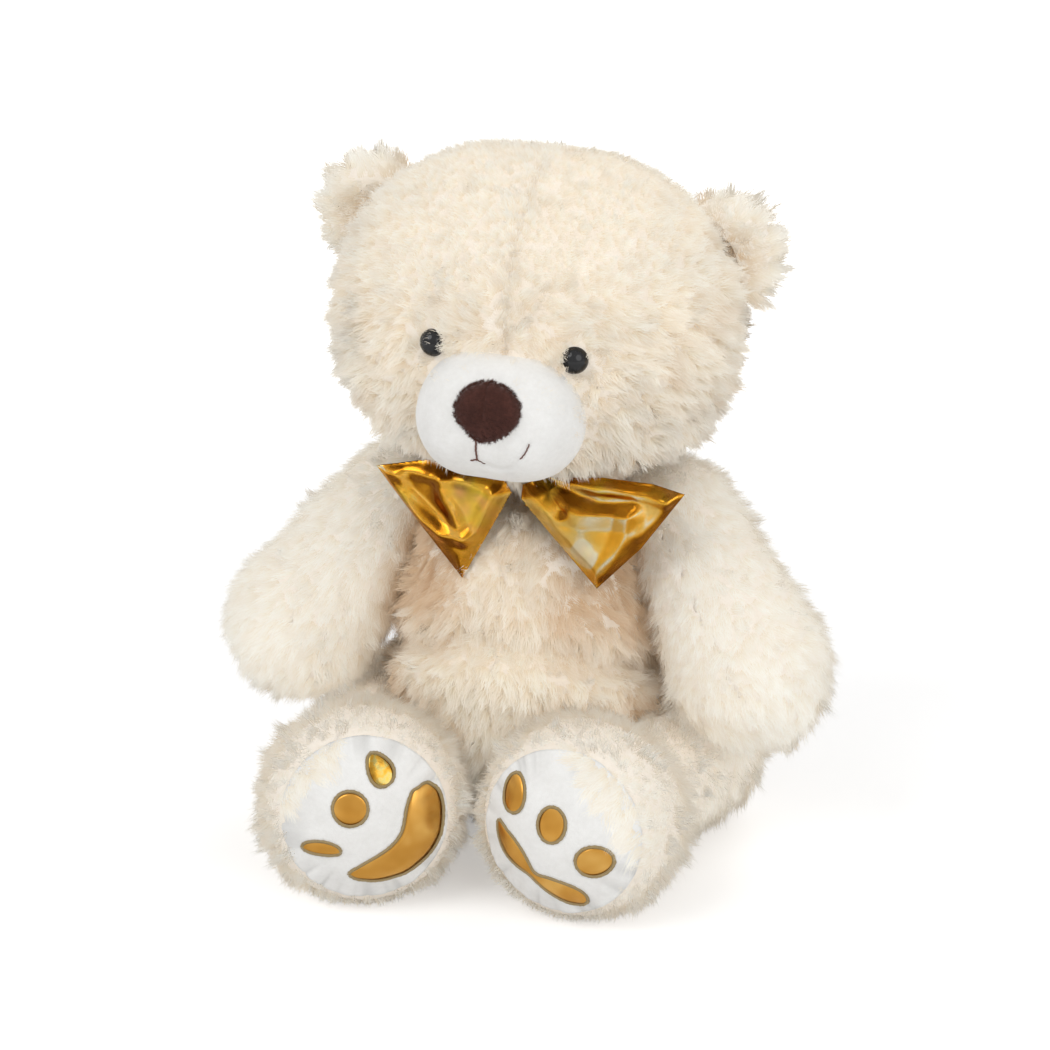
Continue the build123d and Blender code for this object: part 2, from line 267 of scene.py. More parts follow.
def remeshed(name, nodes, voxel, smoothing=3):
    piece = newPiece(name, nodeMesh(*nodes))
    remesh = piece.modifiers.new("remesh", "REMESH")
    remesh.mode = "VOXEL"
    remesh.voxel_size = voxel
    finished(piece)
    bm = opened(piece.data)
    outerShell(bm)
    for _ in range(smoothing):
        bmesh.ops.smooth_vert(bm, verts=bm.verts, factor=0.5, use_axis_x=True, use_axis_y=True, use_axis_z=True)
    faceOut(bm)
    bm.to_mesh(piece.data)
    bm.free()
    for face in piece.data.polygons:
        face.use_smooth = True
    return piece


stuffing = {
    "voxel": 4.5 * mm,
    "frames": 16,
    "swell": 2.5 * mm,   # the most that a point may move in the simulation
    "cloth": {"quality": 4, "mass": 0.3, "tension_stiffness": 12, "compression_stiffness": 8,
              "bending_stiffness": 0.4, "use_pressure": True, "uniform_pressure_force": 4.0},
}


def swelled(piece, pinned):
    # pressure from inside against the seams that hold, then every point's move is capped
    start = [v.co.copy() for v in piece.data.vertices]
    group = piece.vertex_groups.new(name="seams")
    group.add([i for i, co in enumerate(start) if pinned(co)], 1.0, "REPLACE")
    cloth = piece.modifiers.new("cloth", "CLOTH")
    for name, value in stuffing["cloth"].items():
        setattr(cloth.settings, name, value)
    cloth.settings.vertex_group_mass = "seams"
    cloth.settings.effector_weights.gravity = 0
    cloth.collision_settings.use_collision = False
    for number in range(1, stuffing["frames"] + 1):
        scene.frame_set(number)
    finished(piece)
    scene.frame_set(1)
    for vert, before in zip(piece.data.vertices, start):
        move = vert.co - before
        if move.length > stuffing["swell"]:
            vert.co = before + move * (stuffing["swell"] / move.length)
    piece.vertex_groups.clear()


def pressed(piece, shift):
    # moves each point along its normal by shift(place, normal)
    for vert, normal in [(v, v.normal.copy()) for v in piece.data.vertices]:
        vert.co += normal * shift(vert.co, normal)
    piece.data.update()


fur = {
    "strips": 32,        # shades of tuft, from ivory to tan: a random tone, tanner where shade is painted
    "strands": 14,       # ribbons in one tuft
    "spread": 2.3 * mm,  # how far a tuft's ribbons stand from its middle
    "width": 0.36 * mm,
    "length": 15.0 * mm,
    "closing": 0.5,      # how far a tuft draws together at its tip
    "kinds": 6,          # differently waved tufts
    "bend": 0.26,        # how far a tuft and its ribbons leave the straight, against their length
    "stray": 0.34,
    "wave": 0.2,
    "density": 88000,    # tufts on a square metre
    "deep": ("Head", "Torso"),  # the panels whose hairs shade one another
    "locks": 92.0,       # how fine the clumps are
    "swirls": 48.0,
    "leanOut": 0.62,     # how far the ribbons are lit like the cloth below them
    "leanUp": 0.2,
}


def tuftKind(number):
    # a lock of fine ribbons, wavy and drawn together towards the tip
    noise.seed_set(11 + number)
    bm = bmesh.new()
    bm.loops.layers.uv.new("OFBake")
    bend = Vector((noise.random() - 0.5, 0.35 + 0.5 * noise.random(), 0)) * fur["bend"]
    for strand in range(fur["strands"]):
        turn = strand * 2.4
        root = Vector((cos(turn), 0.8 * sin(turn), 0)) * (strand / fur["strands"]) ** 0.5 * fur["spread"]
        tall = fur["length"] * (0.62 + 0.38 * noise.random())
        stray = Vector((noise.random() - 0.5, noise.random() - 0.5, 0)) * fur["stray"]
        wave = Vector((noise.random() - 0.5, noise.random() - 0.5, 0)) * fur["wave"]
        across = Vector((1, 0.8 * (noise.random() - 0.5), 0)).normalized()
        made = bmesh.ops.create_grid(bm, x_segments=1, y_segments=2, size=1, calc_uvs=True)["verts"]
        tip = []
        for vert in made:
            level, side = (vert.co.y + 1) / 2, vert.co.x
            half = across * fur["width"] * 0.5 * (1 - 0.18 * level)
            centre = root * (1 - fur["closing"] * level)
            centre += (bend * level ** 2 + stray * level + wave * sin(level * pi)) * tall
            centre.z = tall * (level - 0.12 * level ** 2)
            if level > 0.99:
                tip.append(vert)
            vert.co = centre + half * side
        bmesh.ops.pointmerge(bm, verts=tip, merge_co=(tip[0].co + tip[1].co) / 2)
    mesh = bpy.data.meshes.new(f"tuft{number}")
    bm.to_mesh(mesh)
    bm.free()
    return bpy.data.objects.new(f"tuft{number}", mesh)


tufts = bpy.data.collections.new("tufts")
for number in range(fur["kinds"]):
    tufts.objects.link(tuftKind(number))


def furNodes():
    # scatters tufts over a skin, laid along its comb attribute and drawn together in locks
    tree = bpy.data.node_groups.new("growFur", "GeometryNodeTree")
    for way in ("INPUT", "OUTPUT"):
        tree.interface.new_socket("Geometry", in_out=way, socket_type="NodeSocketGeometry")
    board = Board(tree)

    def named(name, kind="FLOAT"):
        return board.add("GeometryNodeInputNamedAttribute", {"Name": name}, data_type=kind)

    def chance(low, high, seed):
        return board.add("FunctionNodeRandomValue", {2: low, 3: high, "Seed": seed}, 1, data_type="FLOAT")

    def stored(geometry, name, value, kind):
        return board.add("GeometryNodeStoreNamedAttribute", {"Geometry": geometry, "Name": name, "Value": value},
                         data_type=kind, domain="INSTANCE")

    points = board.add("GeometryNodeDistributePointsOnFaces",
                       {"Mesh": board.add("NodeGroupInput"), "Density": named("density"), "Seed": 7})
    normal = board.out("Normal")
    spot = board.add("GeometryNodeInputPosition")
    swirl = board.add("ShaderNodeTexNoise", {"Vector": spot, "Scale": fur["swirls"], "Detail": 1.0}, "Color")
    swirl = board.vector("SCALE", board.vector("SUBTRACT", swirl, (0.5, 0.5, 0.5)), named("swirl"))
    centre = board.add("ShaderNodeTexVoronoi", {"Vector": spot, "Scale": fur["locks"], "Randomness": 1.0},
                       "Position")
    cell = board.add("ShaderNodeSeparateXYZ", {"Vector": board.out("Color")}, "X")
    draw = board.vector("SCALE", board.vector("SUBTRACT", centre, spot), named("lock"))
    stray = board.add("FunctionNodeRandomValue", {"Min": (-0.22,) * 3, "Max": (0.22,) * 3, "Seed": 3},
                      data_type="FLOAT_VECTOR")
    lay = named("comb", "FLOAT_VECTOR")
    for bent in (swirl, draw, stray):
        lay = board.vector("ADD", lay, bent)
    # nothing may point into the skin
    lift = board.math("MAXIMUM", named("least") - board.vector("DOT_PRODUCT", lay, normal), 0.0)
    lay = board.vector("ADD", lay, board.vector("SCALE", normal, lift))
    turn = board.add("FunctionNodeAxesToRotation", {"Primary Axis": lay, "Secondary Axis": normal},
                     primary_axis="Z", secondary_axis="Y")
    which = board.add("FunctionNodeRandomValue", {4: 0, 5: fur["kinds"] - 1, "Seed": 5}, 2, data_type="INT")
    tall = chance(0.78, 1.14, 9) * named("pile") * (0.74 + 0.5 * cell)
    girth = named("girth")
    size = board.add("ShaderNodeCombineXYZ", {0: girth, 1: girth, 2: tall})
    kinds = board.add("GeometryNodeCollectionInfo", {"Collection": tufts, "Separate Children": True,
                                                     "Reset Children": True})
    placed = board.add("GeometryNodeInstanceOnPoints",
                       {"Points": points, "Instance": kinds, "Pick Instance": True, "Instance Index": which,
                        "Rotation": turn, "Scale": size})
    # a tuft's strip: painted shade moves it towards tan, on top of a random tone
    shade = board.math("FLOOR", named("blush") * (fur["strips"] - 9) + chance(0.0, 8.9, 13))
    placed = stored(placed, "strip", shade, "FLOAT")
    for name in ("outward", "fronted"):
        placed = stored(placed, name, named(name, "FLOAT_VECTOR"), "FLOAT_VECTOR")
    real = board.add("GeometryNodeRealizeInstances", {"Geometry": placed})
    # ribbons show the side that faces away from the skin
    turned = board.vector("DOT_PRODUCT", board.add("GeometryNodeInputNormal"), named("fronted", "FLOAT_VECTOR"))
    wrong = board.add("FunctionNodeCompare", {0: turned, 1: 0.0}, data_type="FLOAT", operation="LESS_THAN")
    shown = board.add("GeometryNodeFlipFaces", {"Mesh": real, "Selection": wrong})
    tree.links.new(shown.socket, tree.nodes.new("NodeGroupOutput").inputs[0])
    return tree


growFur = furNodes()
combed = {**dict.fromkeys(("along", "outward", "fronted"), "FLOAT_VECTOR"),
          **dict.fromkeys(("pile", "girth", "density", "lock", "swirl", "least", "blush"), "FLOAT")}
usualLook = {"lift": 0.4, "pile": 1.0, "girth": 1.0, "density": fur["density"], "lock": 80.0, "swirl": 1.8,
             "least": 0.22, "blush": 0.0, "sway": 0.4}


def combSkin(mesh, style, avoid=()):
    # writes on every point of a skin how its pile grows; avoid holds (tree, gap, tan painted as shade near it, how
    # far)
    values = {name: [] for name in combed}
    for vert in mesh.vertices:
        co, normal = vert.co, vert.normal
        look = dict(usualLook, **style(co, normal))
        lay = look["along"] - normal * look["along"].dot(normal)
        if lay.length > 1e-6:
            lay.normalize()
        look["along"] = lay + normal * look["lift"]
        sway = Vector(noise.noise_vector(co * 55)) * look["sway"]
        look["outward"] = (normal + sway - normal * sway.dot(normal)).normalized()
        look["fronted"] = Vector((normal.x * 0.55, normal.y + (0.35 if normal.y > 0.15 else -0.35), normal.z))
        # painted shade: the pile is tanned near other parts, where shade falls between them
        for tree, gap, blush, reach in avoid:
            room = tree.find_nearest(co)[3] - gap
            if room <= 0:
                look["density"] = 0.0
            look["pile"] *= 0.6 + 0.4 * between(room, 0, 6 * mm)
            look["blush"] += blush * fading(room, 0, reach)
        look["blush"] = min(1.0, look["blush"])
        if co.z < 9 * mm and normal.z < -0.5:
            look["pile"] *= 0.5
        for name in combed:
            values[name].append(look[name])
    for name, kind in combed.items():
        attribute = mesh.attributes.new("comb" if name == "along" else name, kind, "POINT")
        attribute.data.foreach_set("vector" if kind == "FLOAT_VECTOR" else "value",
                                   np.array(values[name], np.float32).ravel())


def grown(name, bm, material, body):
    # grows the pile on a combed skin and keeps the pile alone
    piece = newPiece(name, bm)
    piece.modifiers.new("grow", "NODES").node_group = growFur
    finished(piece)
    dressPile(piece)
    # the cloth below throws the shadow, and light runs down between the hairs
    piece.visible_shadow = False
    piece.visible_diffuse = any(word in name for word in fur["deep"])
    dressed(piece, material, body)
    print(name, sum(len(p.vertices) - 2 for p in piece.data.polygons), "triangles")


def furPanels(form, panels, body, style, avoid):
    # splits a stuffed form into its sewn panels, each a knitted cloth with its pile
    mesh = form.data
    mesh.update()
    combSkin(mesh, style, avoid)
    trees = [treeOf(node) for node in panels]
    nearest = []
    for face in mesh.polygons:
        gaps = [tree.find_nearest(face.center)[3] for tree in trees]
        nearest.append(gaps.index(min(gaps)))
    for number, node in enumerate(panels):
        bm = opened(mesh)
        bm.faces.ensure_lookup_table()
        away = [bm.faces[i] for i, near in enumerate(nearest) if near != number]
        bmesh.ops.delete(bm, geom=away, context="FACES")
        grown(camel(f"pile_{node}"), bm.copy(), plush, body)
        cloth = thickened(newPiece(camel(f"cloth_{node}"), bm, backing, body), 1.2 * mm)
        for vert in cloth.data.vertices:
            vert.co.z = max(vert.co.z, 0.2 * mm)
        standsFor(cloth, node)
    bpy.data.objects.remove(form)


def dressPile(piece):
    mesh = piece.data

    def read(source, name, count, kind=np.float32):
        values = np.zeros(count, kind)
        source.foreach_get(name, values)
        return values

    # tuft strips side by side in the palette
    layer = mesh.uv_layers["OFBake"].data
    places = read(layer, "uv", len(layer) * 2).reshape(-1, 2)
    strip = read(mesh.attributes["strip"].data, "value", len(mesh.vertices))
    corner = read(mesh.loops, "vertex_index", len(mesh.loops), np.int32)
    places[:, 0] = (strip[corner] + 0.15 + 0.7 * places[:, 0]) / fur["strips"]
    places[:, 1] = 0.01 + 0.98 * places[:, 1]
    layer.foreach_set("uv", places.ravel())
    # soft light over the pile: normals lean towards the cloth's and a little upwards
    outward = read(mesh.attributes["outward"].data, "vector", len(mesh.vertices) * 3).reshape(-1, 3)
    own = read(mesh.vertices, "normal", len(mesh.vertices) * 3).reshape(-1, 3)
    soft = outward * fur["leanOut"] + own * (1 - fur["leanOut"]) + np.array([0, 0, fur["leanUp"]])
    spots = read(mesh.vertices, "co", len(mesh.vertices) * 3).reshape(-1, 3)
    spots[:, 2] = np.maximum(spots[:, 2], 0.4 * mm)  # nothing dips into the floor
    mesh.vertices.foreach_set("co", spots.ravel())
    for name in ("strip", "comb", *combed):
        if name in mesh.attributes:
            mesh.attributes.remove(mesh.attributes[name])
    mesh.materials.clear()
    mesh.polygons.foreach_set("use_smooth", [True] * len(mesh.polygons))
    mesh.normals_split_custom_set_from_vertices(soft.tolist())


def pileMaterial(name, stops, tan, **constants):
    # the colour is read from the palette only: across it the tuft's strip, its random tone and any painted shade, up
    # it from root to tip
    material, board = newMaterial(name, **constants)
    spot = board.add("ShaderNodeUVMap", uv_map="OFBake")
    across = board.add("ShaderNodeSeparateXYZ", {"Vector": spot}, "X")
    up = board.out("Y")
    strip = board.math("FLOOR", across * fur["strips"])
    chance = board.add("ShaderNodeTexWhiteNoise", {"W": strip}, noise_dimensions="1D")
    shade = board.mix(chance, (0.965, 0.955, 0.94), (1.0, 1.0, 1.0))
    # painted shade: higher strips tint the tuft towards tan
    warm = board.mix(strip * (1 / fur["strips"]), (1.0, 1.0, 1.0), tan)
    colour = board.mix(1.0, ramp(board, up, *stops), shade, blend="MULTIPLY")
    feed(board, "Base Color", board.mix(1.0, colour, warm, blend="MULTIPLY"))
    return material


plush = pileMaterial("ivoryPlush",
                     [(0.0, (0.86, 0.77, 0.61)), (0.15, (0.91, 0.855, 0.72)), (0.5, (0.95, 0.925, 0.835)),
                      (1.0, (0.975, 0.96, 0.895))], (0.76, 0.56, 0.38),
                     Roughness=0.75, Sheen_Weight=0.25, Sheen_Roughness=0.5, Specular_IOR_Level=0.25)
# knitted cloth that the pile is worked into
backing = mottled("knitBacking", (0.88, 0.78, 0.66), (0.95, 0.89, 0.80), (260, 3), ((900, 1), 0.4 * mm),
                  Roughness=0.9, Specular_IOR_Level=0.15)
print("fur ready")

head = {
    "crownFrom": 8 * mm,    # above the middle of the head, where the short crown pile begins
    "crownOver": 42 * mm,
    "crownPile": 0.46,
    "cheekPile": 1.05,
    "seamPile": 0.40,       # along the seam over the crown
    "fringePile": 1.45,     # under the chin, in front of the knot
    "fringeWide": 14 * mm,
    "loopPile": 0.5,        # over the bow's loops
    "nearBow": (8 * mm, 26 * mm),
    "overEye": {"left": 1.05, "right": 0.76},  # the pile beside each eye
    "nearEye": (4 * mm, 10 * mm),
    "eyeSunk": 2.6 * mm,
    "neckLow": 204 * mm,    # the cloth's lowest height around the neck
    "neckWide": 44 * mm,
    "bowRoom": 18 * mm,     # how much higher it stays over the bow
    "bowReach": 62 * mm,
}
ball = middle("head_face_left", "head_face_right", "head_back")
headAcross = (middle("eye_left") - middle("eye_right")).normalized()
headUp = (-down - headAcross * headAcross.dot(-down)).normalized()
headOut = headAcross.cross(headUp)
noseSpot = middle("nose")
# each eye with its surface and the pile beside it
eyeTrees = [(middle(f"eye_{side}"), treeOf(f"eye_{side}"), head["overEye"][side]) for side, sign in sides]
bowTree = treeOf("bow_loop_left", "bow_loop_right", "bow_knot")
bowMiddle = middle("bow_knot")
headTree, torsoTree = treeOf(*skinsOf("head")), treeOf(*skinsOf("torso"))


def headLook(co, normal):
    side = (co - ball).dot(headAcross)
    crown = between(co.z - ball.z, head["crownFrom"], head["crownFrom"] + head["crownOver"])
    crown *= 1 - 0.55 * between(abs(side), 55 * mm, 95 * mm)
    away = (co - noseSpot).normalized()
    along = away * (0.9 - 0.5 * crown) + down * (0.8 * (1 - crown))
    along += headAcross * 1.1 * crown * max(-1.0, min(1.0, side / (12 * mm)))
    pile = head["cheekPile"] + (head["crownPile"] - head["cheekPile"]) * crown
    lift = 0.5 - 0.28 * crown
    # painted shade: tan patches over the cheeks stand in for the shade between clumps
    blush = 0.02 + (1 - crown) * (0.08 + 0.4 * max(0.0, noise.noise(co * 85)))
    front = between(-(normal.dot(-headOut)), -0.1, 0.3)
    onSeam = fading(abs(side), 0.8 * mm, 3.5 * mm) * between(co.z - noseSpot.z, 24 * mm, 40 * mm) * front
    pile += (head["seamPile"] - pile) * onSeam
    blush += 0.12 * onSeam
    # a fringe hides the knot, and the fur is short over the loops
    nearBow = fading(bowTree.find_nearest(co)[3], *head["nearBow"])
    fringe = between(head["fringeWide"] - abs(co.x - bowMiddle.x), 0, 8 * mm)
    along = along * (1 - nearBow) + down * 1.4 * nearBow
    pile += (head["fringePile"] * fringe + head["loopPile"] * (1 - fringe) - pile) * nearBow
    density = fur["density"] * (0.9 if normal.y > 0.2 else 1 + onSeam)
    # hairs from beside the muzzle cross the eyes
    for eye, tree, cover in eyeTrees:
        gap = tree.find_nearest(co)[3]
        near = fading(gap, *head["nearEye"])
        if near > 0:
            inner = between((noseSpot - eye).normalized().dot((co - eye).normalized()), 0.25, 0.8)
            along = along * (1 - near) + ((eye - co).normalized() * 1.6 * inner + away * (1 - inner)) * near
            pile += (0.62 * (1 - inner) + cover * inner - pile) * near
            lift += (0.3 + 0.7 * inner) * near
            density *= (1 + 3.6 * inner * near) if gap > 0.5 * mm else 0.0
    return {"along": along, "lift": lift, "pile": pile, "lock": 45 + 50 * (1 - crown), "blush": blush,
            "swirl": 1.3 + 1.1 * (1 - crown), "least": 0.14 + 0.1 * (1 - crown), "density": density,
            "sway": 0.3 + 0.7 * (1 - crown)}


def makeHead():
    form = remeshed("headForm", ["head_face_left", "head_face_right", "head_back", "head_stuffing"],
                    stuffing["voxel"])
    left, right = treeOf("head_face_left"), treeOf("head_face_right")
    swelled(form, lambda co: max(left.find_nearest(co)[3], right.find_nearest(co)[3]) < 2.5 * mm)
    # the cloth under the cheeks keeps clear of the bow when the head turns
    neck = middle("neck_disc")
    for vert in form.data.vertices:
        reach = (vert.co - neck).xy.length
        clear = head["neckLow"] + head["bowRoom"] * between(reach, head["neckWide"], head["bowReach"])
        if reach > head["neckWide"]:
            vert.co.z += max(0.0, clear - vert.co.z) * fading(vert.co.y - neck.y, 16 * mm, 36 * mm)
    form.data.update()
    avoid = [(pieceTree(bpy.data.objects["muzzleVelour"]), 2.0 * mm, 0.06, 12 * mm),
             (torsoTree, 3.0 * mm, 0.5, 16 * mm)]
    furPanels(form, ["head_face_left", "head_face_right", "head_back"], "head", headLook, avoid)


ear = {
    "voxel": 3.5 * mm,
    "hollow": 5 * mm,     # how deep its inside is pressed
    "lift": 0.55,
    "pile": 1.12,
    "innerShort": 0.5,    # how much shorter the pile is inside it, and how much painted shade tans it there
    "innerBlush": 0.6,
}


def makeEar(side):
    panels = [f"ear_{side}_front", f"ear_{side}_back"]
    root = middle(*panels)
    outwards = (root - ball).normalized()
    frontWay = (middle(panels[0]) - middle(panels[1])).normalized()

    def hollow(co):
        away = co - root
        away -= frontWay * away.dot(frontWay)
        return fading(away.length, 4 * mm, 20 * mm)

    form = remeshed(f"earForm{side}", panels, ear["voxel"])
    pressed(form, lambda co, normal: -ear["hollow"] * hollow(co) if normal.dot(frontWay) > 0.2 else 0.0)

    def look(co, normal):
        # painted shade: the pile in the hollow is tanned
        inner = hollow(co) if normal.dot(frontWay) > 0 else 0.0
        return {"along": outwards * 0.8 + (co - root).normalized() * 0.8, "lift": ear["lift"], "lock": 80,
                "pile": ear["pile"] - ear["innerShort"] * inner, "blush": 0.04 + ear["innerBlush"] * inner}

    furPanels(form, panels, "head", look, [(headTree, 1.5 * mm, 0.45, 10 * mm)])


belly = {
    "foldAt": 121 * mm,    # the fold across the belly, above the floor
    "foldDepth": 8.0 * mm,
    "foldWide": 8.0 * mm,
    "rollOut": 5.0 * mm,   # the roll below it
    "chest": (112 * mm, 142 * mm),   # the heights between which the longer chest fur begins, tanner there: partly its own tan, partly painted shade under the head and bow
    "knotTuft": (12 * mm, 22 * mm),  # the reach of the tuft that hides the knot
    "underBow": (6 * mm, 18 * mm),   # how near the loops the fur is short
}


def makeTorso():
    panels = skinsOf("torso")
    form = remeshed("torsoForm", panels + ["torso_stuffing"], stuffing["voxel"])
    swelled(form, lambda co: abs(co.x) < 3 * mm)

    def aboveFold(co):
        return (co.z - belly["foldAt"] + 4 * co.x ** 2) / belly["foldWide"]

    def folded(co, normal):
        above = aboveFold(co)
        if normal.y > 0 or abs(above) > 6:
            return 0.0
        return belly["rollOut"] * 2.718 ** -((above + 2.4) ** 2 / 3) - belly["foldDepth"] * 2.718 ** -(above ** 2)

    pressed(form, folded)

    def look(co, normal):
        # painted shade: the chest's sides beside the arms and the belly's fold are tanned; the chest's tan is partly
        # its own, with a random patchiness
        chest = between(co.z, *belly["chest"]) * (1 if normal.y < 0 else 0)
        fold = 2.718 ** -(aboveFold(co) ** 2) if normal.y < 0 else 0.0
        knot = fading((co - bowMiddle).length, *belly["knotTuft"])
        under = fading(bowTree.find_nearest(co)[3], *belly["underBow"]) * (1 - knot)
        patch = 0.5 + 0.9 * noise.noise(co * 34)
        beside = 0.25 + 0.75 * between(abs(co.x), 14 * mm, 34 * mm)
        return {"along": down + Vector((co.x * 4, -1.6 * knot, 0)), "lift": 0.42 + 0.1 * chest + 0.6 * knot,
                "pile": 0.98 + 0.2 * chest + 0.4 * knot - 0.6 * under, "density": fur["density"] * (1 + knot),
                "blush": 0.05 + chest * beside * (0.6 + 0.4 * patch) + 0.4 * beside * fold, "lock": 85,
                "swirl": 2.4, "sway": 0.35}

    limbTree = treeOf(*skinsOf("arm_left", "arm_right", "leg_left", "leg_right"))
    avoid = [(limbTree, 2.0 * mm, 0.95, 24 * mm), (headTree, 2.0 * mm, 0.35, 16 * mm)]
    furPanels(form, panels, "torso", look, avoid)


makeTorso()
print("torso done")


arm = {"lift": 0.38, "pile": 1.0, "lock": 60, "swirl": 2.0, "sway": 0.22}


def makeArm(side, sign):
    panels = [f"arm_{side}_outside", f"arm_{side}_inside"]
    form = remeshed(f"armForm{side}", panels + [f"arm_{side}_stuffing"], stuffing["voxel"])
    low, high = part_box(f"arm_{side}_stuffing")
    paw = Vector((high.x if sign > 0 else low.x, low.y, low.z))
    reach = (paw - middle(f"shoulder_{side}_disc")).normalized()
    swelled(form, lambda co: False)

    def look(co, normal):
        return {"along": reach + down * 0.4, **arm}

    furPanels(form, panels, f"arm_{side}", look, [(torsoTree, 2.0 * mm, 1.0, 20 * mm)])


sole = {
    "radius": 43.4 * mm,
    "thick": 1.4 * mm,
    "rings": 46,
    "turns": 150,
    "pucker": 2.6 * mm,    # depth of the gathers at the rim
    "gathers": 9.0,
    # how dark the painted shade along the rim's gathers is
    "creaseShade": 0.6,
    "ripple": 0.28 * mm,
    "edge": 1.1,            # length of the fur that hangs over the sole's upper outer edge
    "cut": {"right": 35 * mm, "left": 31 * mm},  # where it starts, from the sole's middle
}


def soleFrame(side):
    # the sole's outermost point, the way it faces, and its across and up directions
    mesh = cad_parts[f"sole_{side}"].data
    facing = sum((face.normal * face.area for face in mesh.polygons if face.normal.y < -0.3), Vector())
    facing.normalize()
    centre = middle(f"sole_{side}")
    top = max(v.co.dot(facing) for v in mesh.vertices)
    across = Vector((-facing.y, facing.x, 0)).normalized()
    return centre + facing * (top - centre.dot(facing)), facing, across, facing.cross(across)


overSole = {"right": (-0.75, 0.65), "left": (0.75, 0.65)}  # where the leg's fur hangs over the sole: across, up
leg = {
    "foot": (18 * mm, 60 * mm),  # from the sole to where the foot's shorter pile has ended
    "lift": 0.36,
    "footShort": 0.2,
    "hang": 0.5,          # how much longer the pile is over the sole, and beside the foot
    "beside": 0.4,
    "underShort": 0.45,   # how much shorter it is under the foot
}


def makeLeg(side, sign):
    panels = [f"leg_{side}_outside", f"leg_{side}_inside"]
    form = remeshed(f"legForm{side}", panels + [f"leg_{side}_stuffing"], stuffing["voxel"])
    origin, facing, across, up = soleFrame(side)
    soleTree = treeOf(f"sole_{side}")
    swelled(form, lambda co: soleTree.find_nearest(co)[3] < 4 * mm)

    def look(co, normal):
        fromAxis = co - origin
        depth = -fromAxis.dot(facing)
        fromAxis += facing * depth
        covered = fromAxis.length < sole["radius"] - 2 * mm and depth < 30 * mm
        fromAxis.normalize()
        foot = fading(depth, *leg["foot"])
        rim = fading(soleTree.find_nearest(co)[3], 2 * mm, 12 * mm)
        over = between(fromAxis.dot(across) * overSole[side][0] + fromAxis.dot(up) * overSole[side][1], -0.1, 0.6)
        over *= rim
        along = facing * (0.5 + 0.5 * foot) + down * 0.3 * (1 - foot) - fromAxis * (0.25 * foot + 1.6 * over)
        outer = between(fromAxis.dot(across) * sign, 0.0, 0.9) * foot
        under = between(-fromAxis.dot(up), 0.3, 0.9) * foot
        pile = 1.0 - leg["footShort"] * foot + leg["hang"] * over + leg["beside"] * outer
        return {"along": along, "lift": leg["lift"] + 0.3 * over + 0.15 * outer, "lock": 60,
                "swirl": 2.0 - 0.9 * foot, "pile": pile * (1 - leg["underShort"] * under), "sway": 0.2,
                "density": 0.0 if covered else fur["density"]}

    avoid = [(torsoTree, 2.0 * mm, 0.5, 16 * mm), (soleTree, 0.6 * mm, 0.0, 8 * mm)]
    furPanels(form, panels, f"leg_{side}", look, avoid)


for side, sign in sides:
    makeArm(side, sign)
    makeLeg(side, sign)
print("limbs done")


def velourMaterial(name, low, high, fuzz, **constants):
    # short cut pile: broad brushed shades and a fine nap
    material, board = newMaterial(name, Roughness=0.85, Sheen_Roughness=0.4, Specular_IOR_Level=0.2, **constants)
    brushed = mottle(board, 70, 3) * 0.6 + mottle(board, 420, 3) * 0.4
    # painted shade: a sole's colour darkens along the gathers at its rim
    crease = board.add("ShaderNodeAttribute", output="Fac", attribute_name="crease")
    shade = tuple(0.72 * value for value in low)
    feed(board, "Base Color", board.mix(crease, ramp(board, brushed, (0.32, low), (0.68, high)), shade))
    nap = mottle(board, 1500, 2) * 0.7 + mottle(board, 260, 2) * 0.3
    feed(board, "Normal", bumped(board, nap, fuzz))
    return material


whiteVelour = velourMaterial("whiteVelour", (0.80, 0.79, 0.765), (0.88, 0.875, 0.855), 0.35 * mm, Sheen_Weight=0.2)
brownVelour = velourMaterial("brownVelour", (0.035, 0.011, 0.008), (0.085, 0.029, 0.021), 0.5 * mm,
                             Sheen_Weight=0.25)
brownNap = pileMaterial("brownNap", [(0.0, (0.030, 0.010, 0.007)), (0.7, (0.070, 0.024, 0.016)),
                                     (1.0, (0.12, 0.045, 0.032))], (0.8, 0.7, 0.7),
                        Roughness=0.75, Specular_IOR_Level=0.2)


def growOn(piece, name, material, body, look):
    # a pile of its own over a finished piece
    bm = opened(piece.data)
    bm.normal_update()
    skin = newPiece(name + "Skin", bm)
    combSkin(skin.data, look)
    bm = opened(skin.data)
    bpy.data.objects.remove(skin)
    grown(name, bm, material, body)


face = {
    "muzzleVoxel": 1.8 * mm,
    "taller": 1.15,            # the muzzle's upper half against its seam
    "wider": 1.05,
    "noseVoxel": 1.1 * mm,
    "noseNap": 1.5 * mm,
    "noseDensity": 620000,     # hairs of its nap on a square metre
    "noseDome": 2.2 * mm,      # how much the nose's middle stands out from its rim
    "nosePoint": 0.34,         # how much narrower the nose is at its foot
    "noseFlat": 0.92,          # its height against its width
    "dart": (-1.0 * mm, 15 * mm, -2.2 * mm, -1 * mm),  # across and up, from the nose's top to its middle
    "dartDepth": 1.2 * mm,
    # the mouth, across and up from the middle of the nose: its stitched lines, with the thread's thickness
    "mouth": [([(-4.5, -14.5), (-4.6, -20), (-4.0, -26)], 1.15), ([(-4.0, -26), (-6.0, -26.4), (-8.2, -27.6)], 0.95),
              ([(-4.0, -26), (-2.2, -27.0), (-0.4, -28.4)], 0.7), ([(18.2, -22.5), (20.6, -19), (22.4, -14)], 0.75)],
    "smile": [(-0.4, -28.4), (7, -31.5), (13, -29), (18.2, -22.5), (22.4, -14)],  # the crease between them
    "creaseDepth": 0.9 * mm,
    "creaseWide": 2.6 * mm,
}


def onHead(across, up, out=0.0):
    # a place given from the middle of the nose, in the head's own directions
    return noseSpot + headAcross * across + headUp * up + headOut * out


